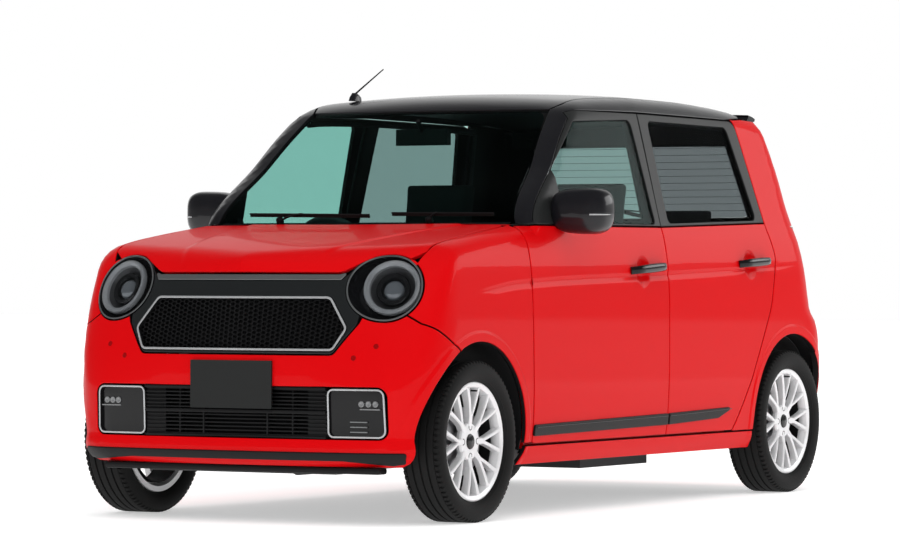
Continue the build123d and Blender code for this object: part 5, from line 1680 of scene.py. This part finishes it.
# %% [markdown]
# ## Room
# The room is dark, but for a bright patch behind the car as the camera sees it. The patch follows a direction
# in the world, not the camera, so it stays where it is when the view turns.
# %% Room
BRIGHT_WAY = (-0.4933, 0.8698, 0.0)
PATCH_EDGE, PATCH_CORE = 0.55, 0.93          # cosines of the angle to BRIGHT_WAY
ROOM_DARK, ROOM_BRIGHT = 0.12, 1.0
world = bpy.data.worlds.new("room")
world.use_nodes = True
room = world.node_tree
back = room.nodes["Background"]
place, aim, ramp = (room.nodes.new("ShaderNodeTexCoord"), room.nodes.new("ShaderNodeVectorMath"),
                    room.nodes.new("ShaderNodeMapRange"))
aim.operation = "DOT_PRODUCT"
aim.inputs[1].default_value = BRIGHT_WAY
ramp.interpolation_type = "SMOOTHSTEP"
ramp.inputs["From Min"].default_value, ramp.inputs["From Max"].default_value = PATCH_EDGE, PATCH_CORE
ramp.inputs["To Min"].default_value, ramp.inputs["To Max"].default_value = ROOM_DARK, ROOM_BRIGHT
back.inputs["Strength"].default_value = 1.0
room.links.new(place.outputs["Generated"], aim.inputs[0])
room.links.new(aim.outputs["Value"], ramp.inputs["Value"])
room.links.new(ramp.outputs["Result"], back.inputs["Color"])
bpy.context.scene.world = world

# %% [markdown]
# ## Lamps
# Three suns light the paint without being mirrored in it, because a sun's disc would show as a hard spot. One
# large screen is mirrored, and gives the long highlight on the flank.
# %% Lamps that light the car
def lamp(name, kind, place, aim, strength, reflected=False, **settings):
    """A soft lamp. Most lamps only light the paint; one alone is mirrored in it."""
    data = bpy.data.lights.new(name, kind)
    data.energy = strength
    for key, value in settings.items():
        setattr(data, key, value)
    o = linked(name, data)
    o.location = place
    o.rotation_euler = (Vector(aim) - Vector(place)).to_track_quat("-Z", "Y").to_euler()
    o.visible_glossy = reflected


lamp("over", "SUN", (1.0, -1.5, 6.0), (0, 0, 0), 1.75, angle=1.4)
lamp("key", "SUN", (3.6, -8.5, 4.2), (0, 0, 0.7), 1.15, angle=0.9)
lamp("side", "SUN", (7.0, 1.0, 2.6), (0, 0, 0.7), 0.1, angle=0.9)
lamp("screen", "AREA", (7.5, 8.5, 4.4), (0, 0, 0.9), 380, reflected=True, shape="RECTANGLE", size=9.0,
     size_y=4.5)


# %% [markdown]
# ## Camera
# A long lens from far away, nearly level, keeps the proportions that the eye expects of a car in a catalogue.
# %% Camera
YAW, PITCH, ROLL = math.radians(29.56), math.radians(0.07), math.radians(0.1)
forward = Vector((-math.sin(YAW) * math.cos(PITCH), math.cos(YAW) * math.cos(PITCH), -math.sin(PITCH)))
right = Vector((math.cos(YAW), math.sin(YAW), 0.0))
up = right.cross(forward)
right, up = (math.cos(ROLL) * right + math.sin(ROLL) * up, -math.sin(ROLL) * right + math.cos(ROLL) * up)
camera_data = bpy.data.cameras.new("camera")
camera_data.lens = 174.5
camera_data.sensor_width = 36.0
camera_data.shift_x, camera_data.shift_y = -0.013, 0.0004
camera_data.clip_end = 200.0
camera = linked("camera", camera_data)
turned = Matrix((right, up, -forward)).transposed().to_4x4()
camera.matrix_world = Matrix.Translation((8.099, -14.3655, 0.855)) @ turned
bpy.context.scene.camera = camera
bpy.context.scene.view_settings.view_transform = "Standard"
